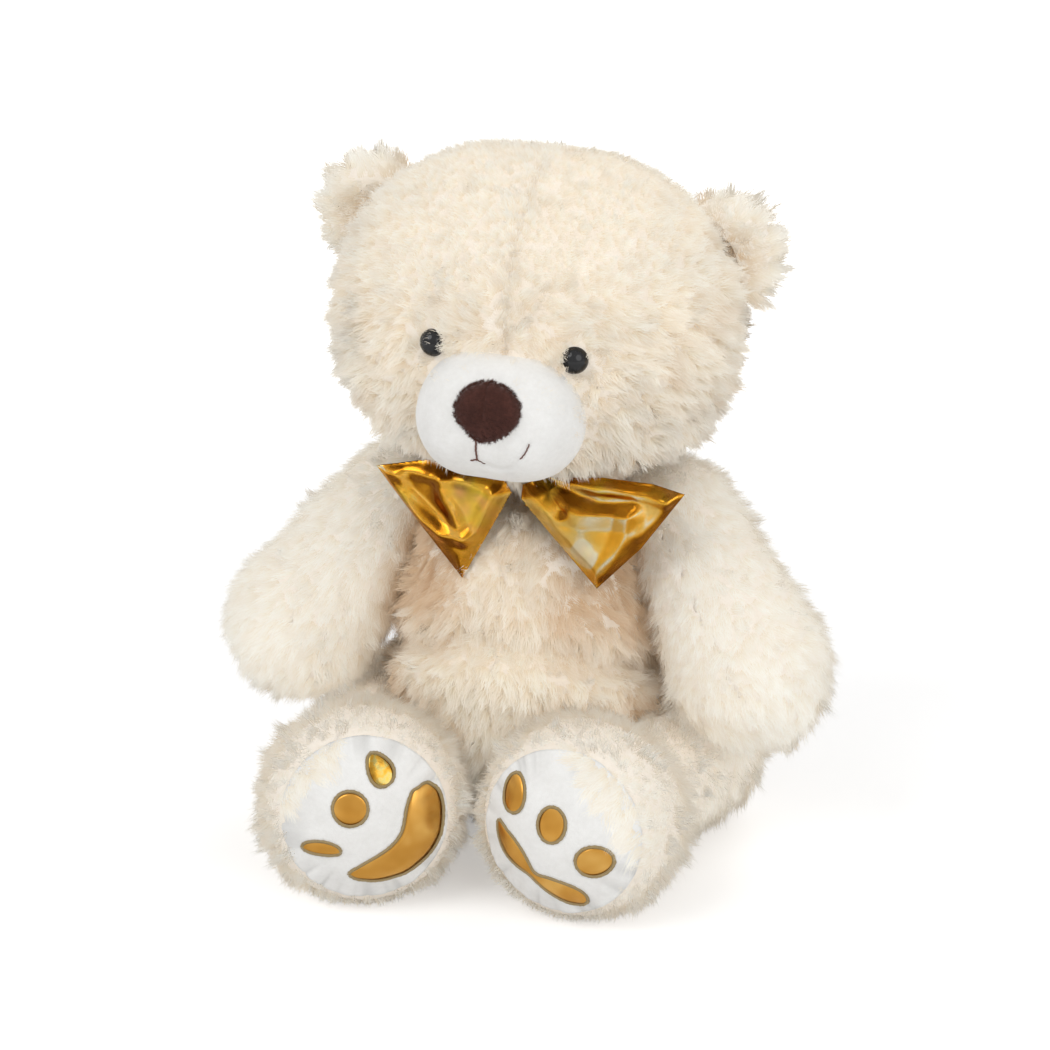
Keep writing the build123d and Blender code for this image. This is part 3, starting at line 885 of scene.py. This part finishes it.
def onFace(tree, across, up):
    return tree.ray_cast(onHead(across, up, 60 * mm), -headOut)[0]


def gapTo(co, points):
    # distance to a line of straight runs
    best = 1.0
    for first, second in zip(points, points[1:]):
        run = second - first
        t = max(0.0, min(1.0, (co - first).dot(run) / run.length_squared))
        best = min(best, (co - first - run * t).length)
    return best


def stitched(bm, points, normals, thick, pitch, slant):
    # a row of short thread stitches along a line, each a drawn out ball
    for number, (first, second) in enumerate(zip(points, points[1:])):
        run = second - first
        along = run.normalized()
        normal = normals[number]
        aside = normal.cross(along).normalized()
        turned = (along + aside * slant * (1 if number % 2 else -1)).normalized()
        made = bmesh.ops.create_grid(bm, x_segments=8, y_segments=5, size=0.5)["verts"]
        spot = (first + second) / 2 + normal * thick * 0.3
        for vert in made:
            turn, rise = 2 * pi * vert.co.x, pi * vert.co.y
            x, y, z = 0.5 * cos(turn) * cos(rise), 0.5 * sin(turn) * cos(rise), 0.5 * sin(rise)
            vert.co = spot + turned * z * pitch * 1.7 + turned.cross(normal) * x * thick + normal * y * thick
        bmesh.ops.remove_doubles(bm, verts=made, dist=0.001 * mm)


def spaced(points, pitch):
    # points at an even pitch along a line
    marks = [points[0]]
    left = pitch
    for first, second in zip(points, points[1:]):
        length = (second - first).length
        at = left
        while at <= length:
            marks.append(first.lerp(second, at / length))
            at += pitch
        left = at - length
    return marks


def makeMuzzle():
    form = remeshed("muzzleVelour", ["muzzle"], face["muzzleVoxel"], smoothing=4)
    centre = middle("muzzle")
    for vert in form.data.vertices:
        out = vert.co - centre
        a, b = out.dot(headAcross), out.dot(headUp)
        vert.co += headUp * max(0.0, b) * (face["taller"] - 1) + headAcross * max(0.0, a) * (face["wider"] - 1)
    form.data.update()
    tree = pieceTree(form)
    crease = [onFace(tree, a * mm, b * mm) for a, b in face["smile"]]

    def dented(co, normal):
        if (co - centre).dot(headOut) < 0 or normal.dot(headOut) < 0:
            return 0.0
        gap = gapTo(co, crease)
        return -face["creaseDepth"] * fading(gap, 0, face["creaseWide"]) + 0.35 * mm * noise.noise(co * 90)

    pressed(form, dented)
    standsFor(dressed(form, whiteVelour, "head"), "muzzle")
    tree = pieceTree(form)
    bm = bmesh.new()
    for line, thick in face["mouth"]:
        marks = spaced([onFace(tree, a * mm, b * mm) for a, b in line], 1.2 * mm)
        stitched(bm, marks, [headOut] * len(marks), thick * mm, 1.2 * mm, 0.28)
    faceOut(bm)
    standsFor(newPiece("mouthThread", bm, brownThread, "head"), "mouth_stitching")


def makeNose():
    form = remeshed("noseVelour", ["nose"], face["noseVoxel"], smoothing=3)
    fromAcross, fromUp, toAcross, toUp = face["dart"]
    half = max((v.co - noseSpot).dot(headAcross) for v in form.data.vertices)
    top, foot = onHead(fromAcross, fromUp), onHead(toAcross, toUp)
    for vert in form.data.vertices:
        out = vert.co - noseSpot
        a, b, c = out.dot(headAcross), out.dot(headUp), out.dot(headOut)
        low = max(0.0, -b / half)
        a *= 1 - face["nosePoint"] * low ** 2
        b *= face["noseFlat"] * (1 - 0.06 * between(abs(a), 0, half) * (1 if b > 0 else 0))
        rim = min(1.0, (a * a + b * b) ** 0.5 / half)
        if c > 0:
            c += face["noseDome"] * (0.6 - rim ** 2)
        vert.co = onHead(a, b, c)
    form.data.update()

    def darted(co, normal):
        flat = co - headOut * (co - noseSpot).dot(headOut)
        if (co - noseSpot).dot(headOut) < 0:
            return 0.0
        gap = gapTo(flat, [top, foot])
        aside = (flat - top).dot(headAcross)
        ridge = 0.5 * mm * fading(abs(aside - 2.2 * mm), 0, 1.8 * mm) if flat.z > foot.z else 0.0
        return ridge - face["dartDepth"] * fading(gap, 0, 1.6 * mm) + 0.25 * mm * noise.noise(co * 240)

    pressed(form, darted)
    standsFor(dressed(form, brownVelour, "head"), "nose")

    def nap(co, normal):
        return {"along": headOut + down * 0.4, "lift": 1.1, "pile": face["noseNap"] / fur["length"],
                "girth": 0.4, "lock": 0.0, "swirl": 1.5, "least": 0.6,
                "density": face["noseDensity"] if normal.dot(headOut) > -0.35 else 0.0}

    growOn(form, "napNose", brownNap, "head", nap)


brownThread = mottled("brownThread", (0.085, 0.030, 0.020), (0.16, 0.065, 0.045), (900, 2), ((3000, 1), 0.1 * mm),
                      Roughness=0.6)
makeMuzzle()
makeNose()
makeHead()
for side, sign in sides:
    makeEar(side)
print("head done")

# foil shapes, in the sole's across and up directions: places and half widths along each one's middle line
prints = {
    "right": {
        "toe_first": {"oval": (-22.4, -13.9), "semi": (9.6, 4.6), "turn": -4, "flat": 0.55},
        "toe_second": {"oval": (-7.1, 8.9), "semi": (8.6, 8.6), "turn": 0},
        "toe_third": {"oval": (8.4, 28.0), "semi": (8.3, 5.7), "turn": 122, "drop": 0.26},
        "paw_pad": {"line": [(30.0, 17.6, 0), (30.3, 16.8, 3.6), (30.6, 14.6, 6.2), (31.2, 10, 8.4), (31.2, 3, 9.6),
                             (29.8, -6, 10.0), (26.0, -13.5, 9.8), (19.2, -19.6, 9.0), (11.5, -23.6, 7.8),
                             (4, -26.0, 6.2), (-2.6, -27.2, 3.8), (-6.4, -27.4, 1.8), (-8.2, -27.4, 0)]},
    },
    "left": {
        "toe_first": {"oval": (-24.8, 18.4), "semi": (9.2, 6.7), "turn": 94, "drop": 0.08},
        "toe_second": {"oval": (-0.4, 7.2), "semi": (8.8, 7.2), "turn": 88},
        "toe_third": {"oval": (22.6, -9.2), "semi": (9.0, 7.6), "turn": 22, "drop": 0.05},
        "paw_pad": {"line": [(-32.8, 2.4, 0), (-32.0, 0.4, 1.6), (-29.0, -4.6, 4.0), (-24.6, -9.6, 5.2),
                             (-19.6, -14.2, 4.8), (-14.8, -18.4, 2.9), (-11.2, -21.6, 1.4), (-7.6, -23.9, 2.0),
                             (-2.6, -26, 3.7), (3.4, -28.4, 5.0), (9.4, -30.4, 5.3), (13.6, -31.8, 4.6),
                             (16.2, -32.6, 2.8), (17.2, -32.9, 0)]},
    },
}
satin = {"pitch": 0.46 * mm, "length": 1.6 * mm, "thick": 0.62 * mm, "ragged": 0.4 * mm}


def through(points, t):
    # a smooth line through points, at t from 0 to 1
    at = t * (len(points) - 1)
    i = min(int(at), len(points) - 2)
    at -= i
    p0, p1 = points[max(i - 1, 0)], points[i]
    p2, p3 = points[i + 1], points[min(i + 2, len(points) - 1)]
    return Vector([0.5 * (2 * b + (c - a) * at + (2 * a - 5 * b + 4 * c - d) * at ** 2
                          + (3 * b - a - 3 * c + d) * at ** 3) for a, b, c, d in zip(p0, p1, p2, p3)])


def turnedTo(bm, facing):
    # makes a sheet's faces look the given way
    faceOut(bm)
    if sum((f.normal for f in bm.faces), Vector()).dot(facing) < 0:
        bmesh.ops.reverse_faces(bm, faces=bm.faces)


def printEdge(shape, t, side):
    # a point in the sole's plane, t along a print and side from -1 to 1 across it
    if "line" in shape:
        here, after, before = (through(shape["line"], at) for at in (t, min(1, t + 0.01), max(0, t - 0.01)))
        run = Vector((after.x - before.x, after.y - before.y)).normalized()
        return Vector((here.x, here.y)) + Vector((-run.y, run.x)) * max(0.0, here.z) * side
    long, wide = shape["semi"]
    x = -cos(pi * t)
    wide *= 1 - shape.get("drop", 0.0) * x
    y = sin(pi * t) * side * wide
    if y < 0:
        y *= 1 - shape.get("flat", 0.0)
    turn = radians(shape["turn"])
    cx, cy = shape["oval"]
    return Vector((cx + x * long * cos(turn) - y * sin(turn), cy + x * long * sin(turn) + y * cos(turn)))


def makeSole(side):
    origin, facing, across, up = soleFrame(side)
    cad = treeOf(f"sole_{side}")
    body = f"leg_{side}"
    shift = 3.7 if side == "left" else 0.0

    def onDome(tree, a, b, rise):
        start = origin + across * a + up * b
        hit = tree.ray_cast(start + facing * 30 * mm, -facing)[0]
        return (hit or start - facing * 14 * mm) + facing * rise

    bm = bmesh.new()
    bmesh.ops.create_grid(bm, x_segments=sole["turns"], y_segments=sole["rings"], size=1)
    for vert in bm.verts:
        turn, reach = pi * (vert.co.x + 1), sole["radius"] * (vert.co.y + 1) / 2
        vert.co = (reach * cos(turn), reach * sin(turn), 0)
    bmesh.ops.remove_doubles(bm, verts=bm.verts, dist=0.01 * mm)
    crease = bm.verts.layers.float.new("crease")
    for vert in bm.verts:
        a, b = vert.co.x, vert.co.y
        reach = vert.co.length / sole["radius"]
        rimward = between(reach, 0.62, 1.0)
        ring = Vector((a, b, 0)).normalized() * sole["gathers"] / 3 + Vector((shift, shift, 0))
        gather = abs(noise.noise(ring)) + 0.5 * abs(noise.noise(ring * 2.3))
        # painted shade along the gathers near the rim, read by the velour's colour
        vert[crease] = sole["creaseShade"] * rimward * fading(gather, 0.02, 0.3)
        soft = noise.noise(Vector((a * 70 + shift, b * 70, 0))) * (1 - 0.5 * rimward)
        rise = sole["ripple"] * soft + 0.15 * mm - sole["pucker"] * rimward * (0.7 - gather) * 1.6
        vert.co = onDome(cad, a, b, rise)
    turnedTo(bm, facing)
    piece = thickened(newPiece(camel(f"soleVelour_{side}"), bm, whiteVelour, body), sole["thick"])
    standsFor(piece, f"sole_{side}")
    velour = pieceTree(piece)

    overWay = (across * overSole[side][0] + up * overSole[side][1]).normalized()

    def edgeFur(co, normal):
        shown = (co - origin).dot(overWay) > sole["cut"][side] and normal.dot(facing) > 0.2
        return {"along": down * 0.4 - overWay, "lift": 0.55, "pile": sole["edge"], "lock": 60, "sway": 0.2,
                "density": fur["density"] * 2.6 if shown else 0.0}

    growOn(piece, camel(f"pileSoleEdge_{side}"), plush, body, edgeFur)

    stitches = bmesh.new()
    inner = stitches.verts.layers.float.new("inner")
    for name, shape in prints[side].items():
        steps = 60 if "line" in shape else 30
        bm = bmesh.new()
        made = bmesh.ops.create_grid(bm, x_segments=steps, y_segments=8, size=1)["verts"]
        for vert in made:
            t, half = (vert.co.x + 1) / 2, vert.co.y
            if "line" not in shape:
                t = t * t * (3 - 2 * t) * 0.4 + t * 0.6
            spot = printEdge(shape, t, half)
            puff = 0.32 * mm * (1 - half ** 4) + 0.22 * mm
            vert.co = onDome(velour, spot.x * mm, spot.y * mm, puff)
        bmesh.ops.remove_doubles(bm, verts=bm.verts, dist=0.05 * mm)
        turnedTo(bm, facing)
        foil = hologram if (name, side) == ("toe_third", "right") else amberFoil
        foil = thickened(newPiece(camel(f"foil_{name}_{side}"), bm, foil, body), 0.2 * mm)
        standsFor(foil, f"{name}_{side}")
        ring = [printEdge(shape, i / 80, 1) for i in range(81)]
        ring += [printEdge(shape, 1 - i / 80, -1) for i in range(81)]
        marks = spaced([Vector((p.x, p.y, 0)) * mm for p in ring], satin["pitch"])
        area = sum(p.x * q.y - q.x * p.y for p, q in zip(marks, marks[1:]))
        for first, second in zip(marks, marks[1:] + marks[:1]):
            run = (second - first).normalized()
            aside = Vector((run.y, -run.x, 0)) * (1 if area > 0 else -1)
            reach = satin["length"] + satin["ragged"] * (noise.random() - 0.35)
            bar = bmesh.ops.create_cube(stitches, size=1.0)["verts"]
            for vert in bar:
                co = vert.co.copy()
                end = co.x + 0.5
                thin = 0.72 + 0.28 * (1 - abs(end * 2 - 1))
                flat = first + run * co.y * satin["thick"] * thin + aside * (end * reach - 0.35 * mm)
                high = (0.10 if co.z < 0 else 0.52 + 0.12 * noise.random()) * mm
                vert[inner] = 1 - end
                vert.co = onDome(velour, flat.x, flat.y, high)
    faceOut(stitches)
    rim = newPiece(camel(f"satinRim_{side}"), stitches, rimThread, body)
    standsFor(rim, f"paw_stitching_{side}")


# olive gold thread, darker where it meets the foil
rimThread, board = newMaterial("rimThread", Roughness=0.5, Specular_IOR_Level=0.4)
inner = board.add("ShaderNodeAttribute", output="Fac", attribute_name="inner")
shade = ramp(board, inner, (0.0, (0.33, 0.25, 0.125)), (0.6, (0.44, 0.33, 0.16)), (0.74, (0.13, 0.085, 0.04)),
             (0.9, (0.50, 0.34, 0.12)))
feed(board, "Base Color", board.mix(mottle(board, 1400, 1), shade, (0.36, 0.26, 0.12)))


def foilMaterial(name, stops, rough, scale):
    # mirror foil whose hue drifts in patches
    material, board = newMaterial(name, Metallic=1.0, Roughness=rough)
    patches = mottle(board, scale, 2, 0.55)
    feed(board, "Base Color", ramp(board, patches, *stops))
    feed(board, "Normal", bumped(board, mottle(board, scale * 2.2, 2), 0.3 * mm, 0.35))
    return material


amberFoil = foilMaterial("amberFoil", [(0.30, (0.42, 0.19, 0.028)), (0.5, (0.54, 0.27, 0.052)),
                                       (0.70, (0.66, 0.38, 0.10))], 0.3, 45)
hologram = foilMaterial("hologramFoil", [(0.30, (0.30, 0.14, 0.015)), (0.44, (0.44, 0.24, 0.03)),
                                         (0.52, (0.34, 0.29, 0.10)), (0.60, (0.50, 0.28, 0.04)),
                                         (0.72, (0.36, 0.16, 0.02))], 0.2, 130)
noise.seed_set(21)
for side, sign in sides:
    makeSole(side)
print("soles done")

# corners and creases are (outwards, up) from the knot, in millimetres; a crease is raised (+) or sunk (-) by its
# height over its width
bow = {
    "cell": 0.9 * mm,
    "puff": 4.2 * mm,
    "back": 2.6 * mm,
    "knot": (9 * mm, 193 * mm),
    "knotSize": 0.5,
    "knotSunk": (3 * mm, 3 * mm, 1 * mm),  # into the fur between the loops
    "swing": 0.45,  # how much the painted reflection follows the foil's tilt, and how bright its one painted glint is
    "shine": 0.55,
    "left": {
        # how bright this lobe's painted reflection is on the whole
        "tone": 0.48,
        "glint": (38, -18),
        "corners": [(0, 8), (1, 16), (12, 21), (45, 24), (72, 23), (89, 19), (66, -13), (42, -38), (20, -14)],
        "creases": [([(9, 20), (15, 13), (22, 5)], -4.0, 6), ([(22, 7), (33, 4), (48, 5), (61, 6)], 2.4, 9),
                    ([(61, 6), (58, -6), (54, -17), (48, -29)], 2.2, 8),
                    ([(14, 19), (28, 15), (43, 11), (60, 12)], -2.8, 6),
                    ([(20, 22), (46, 20), (70, 18), (82, 14)], 2.2, 5), ([(82, 14), (76, 5), (66, -5)], 1.6, 5)],
    },
    "right": {
        # how bright this lobe's painted reflection is on the whole
        "tone": 0.36,
        "glint": (82, 14),
        "corners": [(5, 11), (9, 18), (30, 22), (52, 25), (81, 19), (58, -10), (33, -40)],
        "creases": [([(76, 12), (63, -2), (54, -9), (45, -14), (31, -17), (23, -11), (14, 10)], 3.0, 5.5),
                    ([(60, 9), (52, 2), (46, -4)], -3.6, 12), ([(43, 16), (42, 5), (36, -4), (31, -15)], 2.6, 6),
                    ([(74, 20), (66, 14), (65, 6)], 1.8, 5), ([(66, 19), (48, 17), (30, 16)], 1.4, 5)],
    },
}


def whole(bm):
    return bm.verts[:] + bm.edges[:] + bm.faces[:]


def makeLobe(side, sign):
    shape = bow[side]
    node = f"bow_loop_{side}"
    knotAcross, knotUp = bow["knot"]
    depth = middle(node).y
    corners = [Vector((u, 0, v)) * mm for u, v in shape["corners"]]
    wide = max(c.x for c in corners)
    bm = bmesh.new()
    cells = ceil(wide / bow["cell"])
    bmesh.ops.create_grid(bm, x_segments=cells, y_segments=cells, size=1)
    for vert in bm.verts:
        vert.co = Vector(((vert.co.x + 1) / 2 * wide, 0, vert.co.y * wide * 0.42 - 8 * mm))
    for first, second in zip(corners, corners[1:] + corners[:1]):
        run = (second - first).normalized()
        bmesh.ops.bisect_plane(bm, geom=whole(bm), plane_co=first, plane_no=(-run.z, 0, run.x),
                               clear_outer=True, dist=0.05 * mm)
    bmesh.ops.remove_doubles(bm, verts=bm.verts, dist=0.12 * mm)
    creases = [([Vector((u, 0, v)) * mm for u, v in line], high * mm, width * mm)
               for line, high, width in shape["creases"]]
    edge = corners + corners[:1]
    back = bmesh.ops.duplicate(bm, geom=whole(bm))["geom"]
    backVerts = {g for g in back if isinstance(g, bmesh.types.BMVert)}
    fold = bm.verts.layers.float.new("fold")
    height = {}
    for vert in bm.verts:
        co = vert.co.copy()
        rim = between(gapTo(co, edge), 0, 9 * mm) ** 0.6
        if vert in backVerts:
            height[vert] = -bow["back"] * rim
            continue
        rise = bow["puff"] * rim
        for line, high, width in creases:
            rise += high * max(0.0, 1 - gapTo(co, line) / width) * between(gapTo(co, edge), 0, 3 * mm)
        rise += 0.9 * mm * rim * noise.noise(co * 75 + Vector((sign, 0, 0)))
        height[vert] = max(-1.6 * mm, rise)
    for vert, rise in height.items():
        vert.co.y = -rise
    bmesh.ops.bridge_loops(bm, edges=[e for e in bm.edges if e.is_boundary])
    bm.normal_update()
    for _ in range(2):
        bmesh.ops.smooth_vert(bm, verts=[v for v in bm.verts if v not in backVerts], factor=0.5, use_axis_y=True)
    faceOut(bm)
    bm.normal_update()
    glint = Vector((shape["glint"][0], 0, shape["glint"][1])) * mm
    for vert in bm.verts:
        # painted reflection: how the foil tilts decides its colour, and one spot gets a painted glint
        tilt = vert.normal
        shine = fading((vert.co - glint).length, 4 * mm, 11 * mm)
        wave = sin(3.4 * tilt.x - 4.6 * tilt.z + 0.9 + 0.9 * noise.noise(vert.co * 40))
        vert[fold] = shape["tone"] + bow["swing"] * wave + bow["shine"] * shine
    for vert in bm.verts:
        vert.co = Vector((knotAcross + sign * vert.co.x, depth + vert.co.y, knotUp + vert.co.z))
    faceOut(bm)
    lobe = newPiece(camel(f"bowLoop_{side}"), bm, bowFoil, "torso")
    standsFor(lobe, node)


# gold foil, its colour a painted reflection read from fold: brown in its hollows, amber and gold on its slopes, pale
# at its painted glint, with drifting rainbow patches
bowFoil, board = newMaterial("bowFoil", Metallic=1.0, Roughness=0.2)
fold = board.add("ShaderNodeAttribute", output="Fac", attribute_name="fold")
drift = mottle(board, 38, 2)
gold = ramp(board, fold + (drift - 0.5) * 0.7, (0.04, (0.38, 0.14, 0.010)), (0.22, (0.68, 0.29, 0.018)),
            (0.48, (0.88, 0.44, 0.035)), (0.75, (1.0, 0.58, 0.08)), (0.93, (1.0, 0.70, 0.20)),
            (1.0, (1.0, 0.90, 0.62)))
rainbow = ramp(board, mottle(board, 62, 1), (0.30, (0.95, 0.36, 0.02)), (0.42, (1.0, 0.62, 0.05)),
               (0.52, (0.85, 0.66, 0.08)), (0.58, (0.9, 0.60, 0.14)), (0.68, (1.0, 0.54, 0.24)))
patch = ramp(board, mottle(board, 30, 1), (0.54, (0, 0, 0)), (0.66, (0.6, 0.6, 0.6)))
feed(board, "Base Color", board.mix(patch, gold, rainbow))
feed(board, "Normal", bumped(board, mottle(board, 210, 2), 0.25 * mm, 0.25))


def makeKnot():
    # a gathered band around the middle, pleated from side to side
    form = remeshed("bowKnotFoil", ["bow_knot"], 1.0 * mm, smoothing=2)
    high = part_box("bow_knot")[1]
    hold = Vector((bowMiddle.x, high.y, high.z))
    for vert in form.data.vertices:
        vert.co = hold + (vert.co - hold) * bow["knotSize"] + Vector(bow["knotSunk"])
    form.data.update()
    pressed(form, lambda co, normal: -0.55 * mm * abs(sin(co.z * 900 + 2 * noise.noise(co * 120))) - 0.3 * mm)
    form.data.attributes.new("fold", "FLOAT", "POINT").data.foreach_set(
        "value", [0.35 + 0.3 * noise.noise(v.co * 200) for v in form.data.vertices])
    standsFor(dressed(form, bowFoil, "torso"), "bow_knot")


for side, sign in sides:
    makeLobe(side, sign)
makeKnot()
print("bow done")


# moulded black plastic with a faint cloudy depth under its gloss
eyePlastic = mottled("eyePlastic", (0.004, 0.004, 0.004), (0.012, 0.012, 0.013), (400, 3),
                     ((250, 1), 0.05 * mm, 0.3), Roughness=0.14, Specular_IOR_Level=0.35)
for side, sign in sides:
    bm = nodeMesh(f"eye_{side}")
    bmesh.ops.translate(bm, verts=bm.verts, vec=-headOut * head["eyeSunk"])
    standsFor(newPiece(camel(f"eyeBall_{side}"), bm, eyePlastic, "head"), f"eye_{side}")

# milky moulded plastic with slight flow marks, and carded fibre
plastic = mottled("jointPlastic", (0.72, 0.72, 0.70), (0.84, 0.84, 0.81), (120, 4, 0.6, (1, 1, 6)),
                  ((700, 2), 0.1 * mm, 0.4), rough=(0.35, 0.2), Subsurface_Weight=0.1)
strands = (160, 6, 0.7, (1, 4, 2))
fibre = mottled("fibreFill", (0.74, 0.74, 0.73), (0.92, 0.92, 0.91), strands, (strands, 1.5 * mm),
                Roughness=1.0, Specular_IOR_Level=0.1)
for name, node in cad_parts.items():
    hardware = "disc" in name or "lock" in name or "washer" in name
    if "stuffing" in name or hardware:
        node.data.materials.clear()
        node.data.materials.append(plastic if hardware else fibre)
print("hardware done")

studio = {
    "azimuth": 17.0, "elevation": 19.0, "distance": 1.600, "lens": 99.43,
    "target": (0, 0, 0.165), "shift": -0.0133,
    "world": 0.60, "floor": 0.86,
    # how far from the bear the floor begins and ends to fade into white, and its glow at both
    "fade": (0.35, 1.3), "glow": (0.30, 0.9),
    # each lamp's place, aim, size and power
    "lamps": {"keyLight": ((-1.1, -1.6, 2.1), (0, 0, 0.15), 1.6, 22),
              "fillLight": ((1.7, -1.2, 1.2), (0, 0, 0.15), 1.8, 14),
              "backLight": ((0.3, 1.6, 1.9), (0, 0, 0.2), 1.4, 8)},
}


def makeFloor():
    # pale floor that keeps the shadow near the bear and runs out to white
    material, board = newMaterial("paleFloor", Roughness=0.9, Specular_IOR_Level=0.0)
    board.shader.inputs["Base Color"].default_value = (studio["floor"],) * 3 + (1,)
    seen = board.add("ShaderNodeLightPath", output="Is Camera Ray")
    seen = board.math("MAXIMUM", seen, board.out("Is Glossy Ray") * 0.6)
    far = board.vector("LENGTH", board.add("ShaderNodeTexCoord", output="Object"))
    limits = dict(zip(("From Min", "From Max", "To Min", "To Max"), studio["fade"] + studio["glow"]))
    far = board.add("ShaderNodeMapRange", {"Value": far, **limits}, interpolation_type="SMOOTHSTEP")
    feed(board, "Emission Color", board.vector("SCALE", (1, 1, 1), far * seen))
    board.shader.inputs["Emission Strength"].default_value = 1.0
    bm = bmesh.new()
    bmesh.ops.create_grid(bm, x_segments=2, y_segments=2, size=12.0)
    newPiece("floor", bm, material)


makeFloor()

world = bpy.data.worlds.new("studio")
scene.world = world
world.use_nodes = True
board = Board(world.node_tree)
background = world.node_tree.nodes["Background"]
seen = board.add("ShaderNodeLightPath", output="Is Camera Ray")
seen = board.math("MAXIMUM", seen, board.out("Is Glossy Ray"))
background.inputs["Color"].default_value = (1, 1, 1, 1)
board.tree.links.new((studio["world"] + (1 - studio["world"]) * seen).socket, background.inputs["Strength"])


def placed(name, data, place, way):
    # puts a lamp or the camera at a place, looking along a direction
    holder = bpy.data.objects.new(name, data)
    scene.collection.objects.link(holder)
    holder.location = place
    holder.rotation_euler = way.to_track_quat("-Z", "Y").to_euler()
    return holder


for name, (place, aim, size, power) in studio["lamps"].items():
    lamp = bpy.data.lights.new(name, "AREA")
    lamp.shape, lamp.size, lamp.energy = "DISK", size, power
    placed(name, lamp, place, Vector(aim) - Vector(place))

cameraData = bpy.data.cameras.new("camera")
turn, rise = radians(studio["azimuth"]), radians(studio["elevation"])
way = Vector((sin(turn) * cos(rise), -cos(turn) * cos(rise), sin(rise)))
scene.camera = placed("camera", cameraData, Vector(studio["target"]) + way * studio["distance"], -way)
cameraData.lens = studio["lens"]
cameraData.shift_x = studio["shift"]
cameraData.clip_end = 50
scene.view_settings.view_transform = "Standard"
print("studio done")
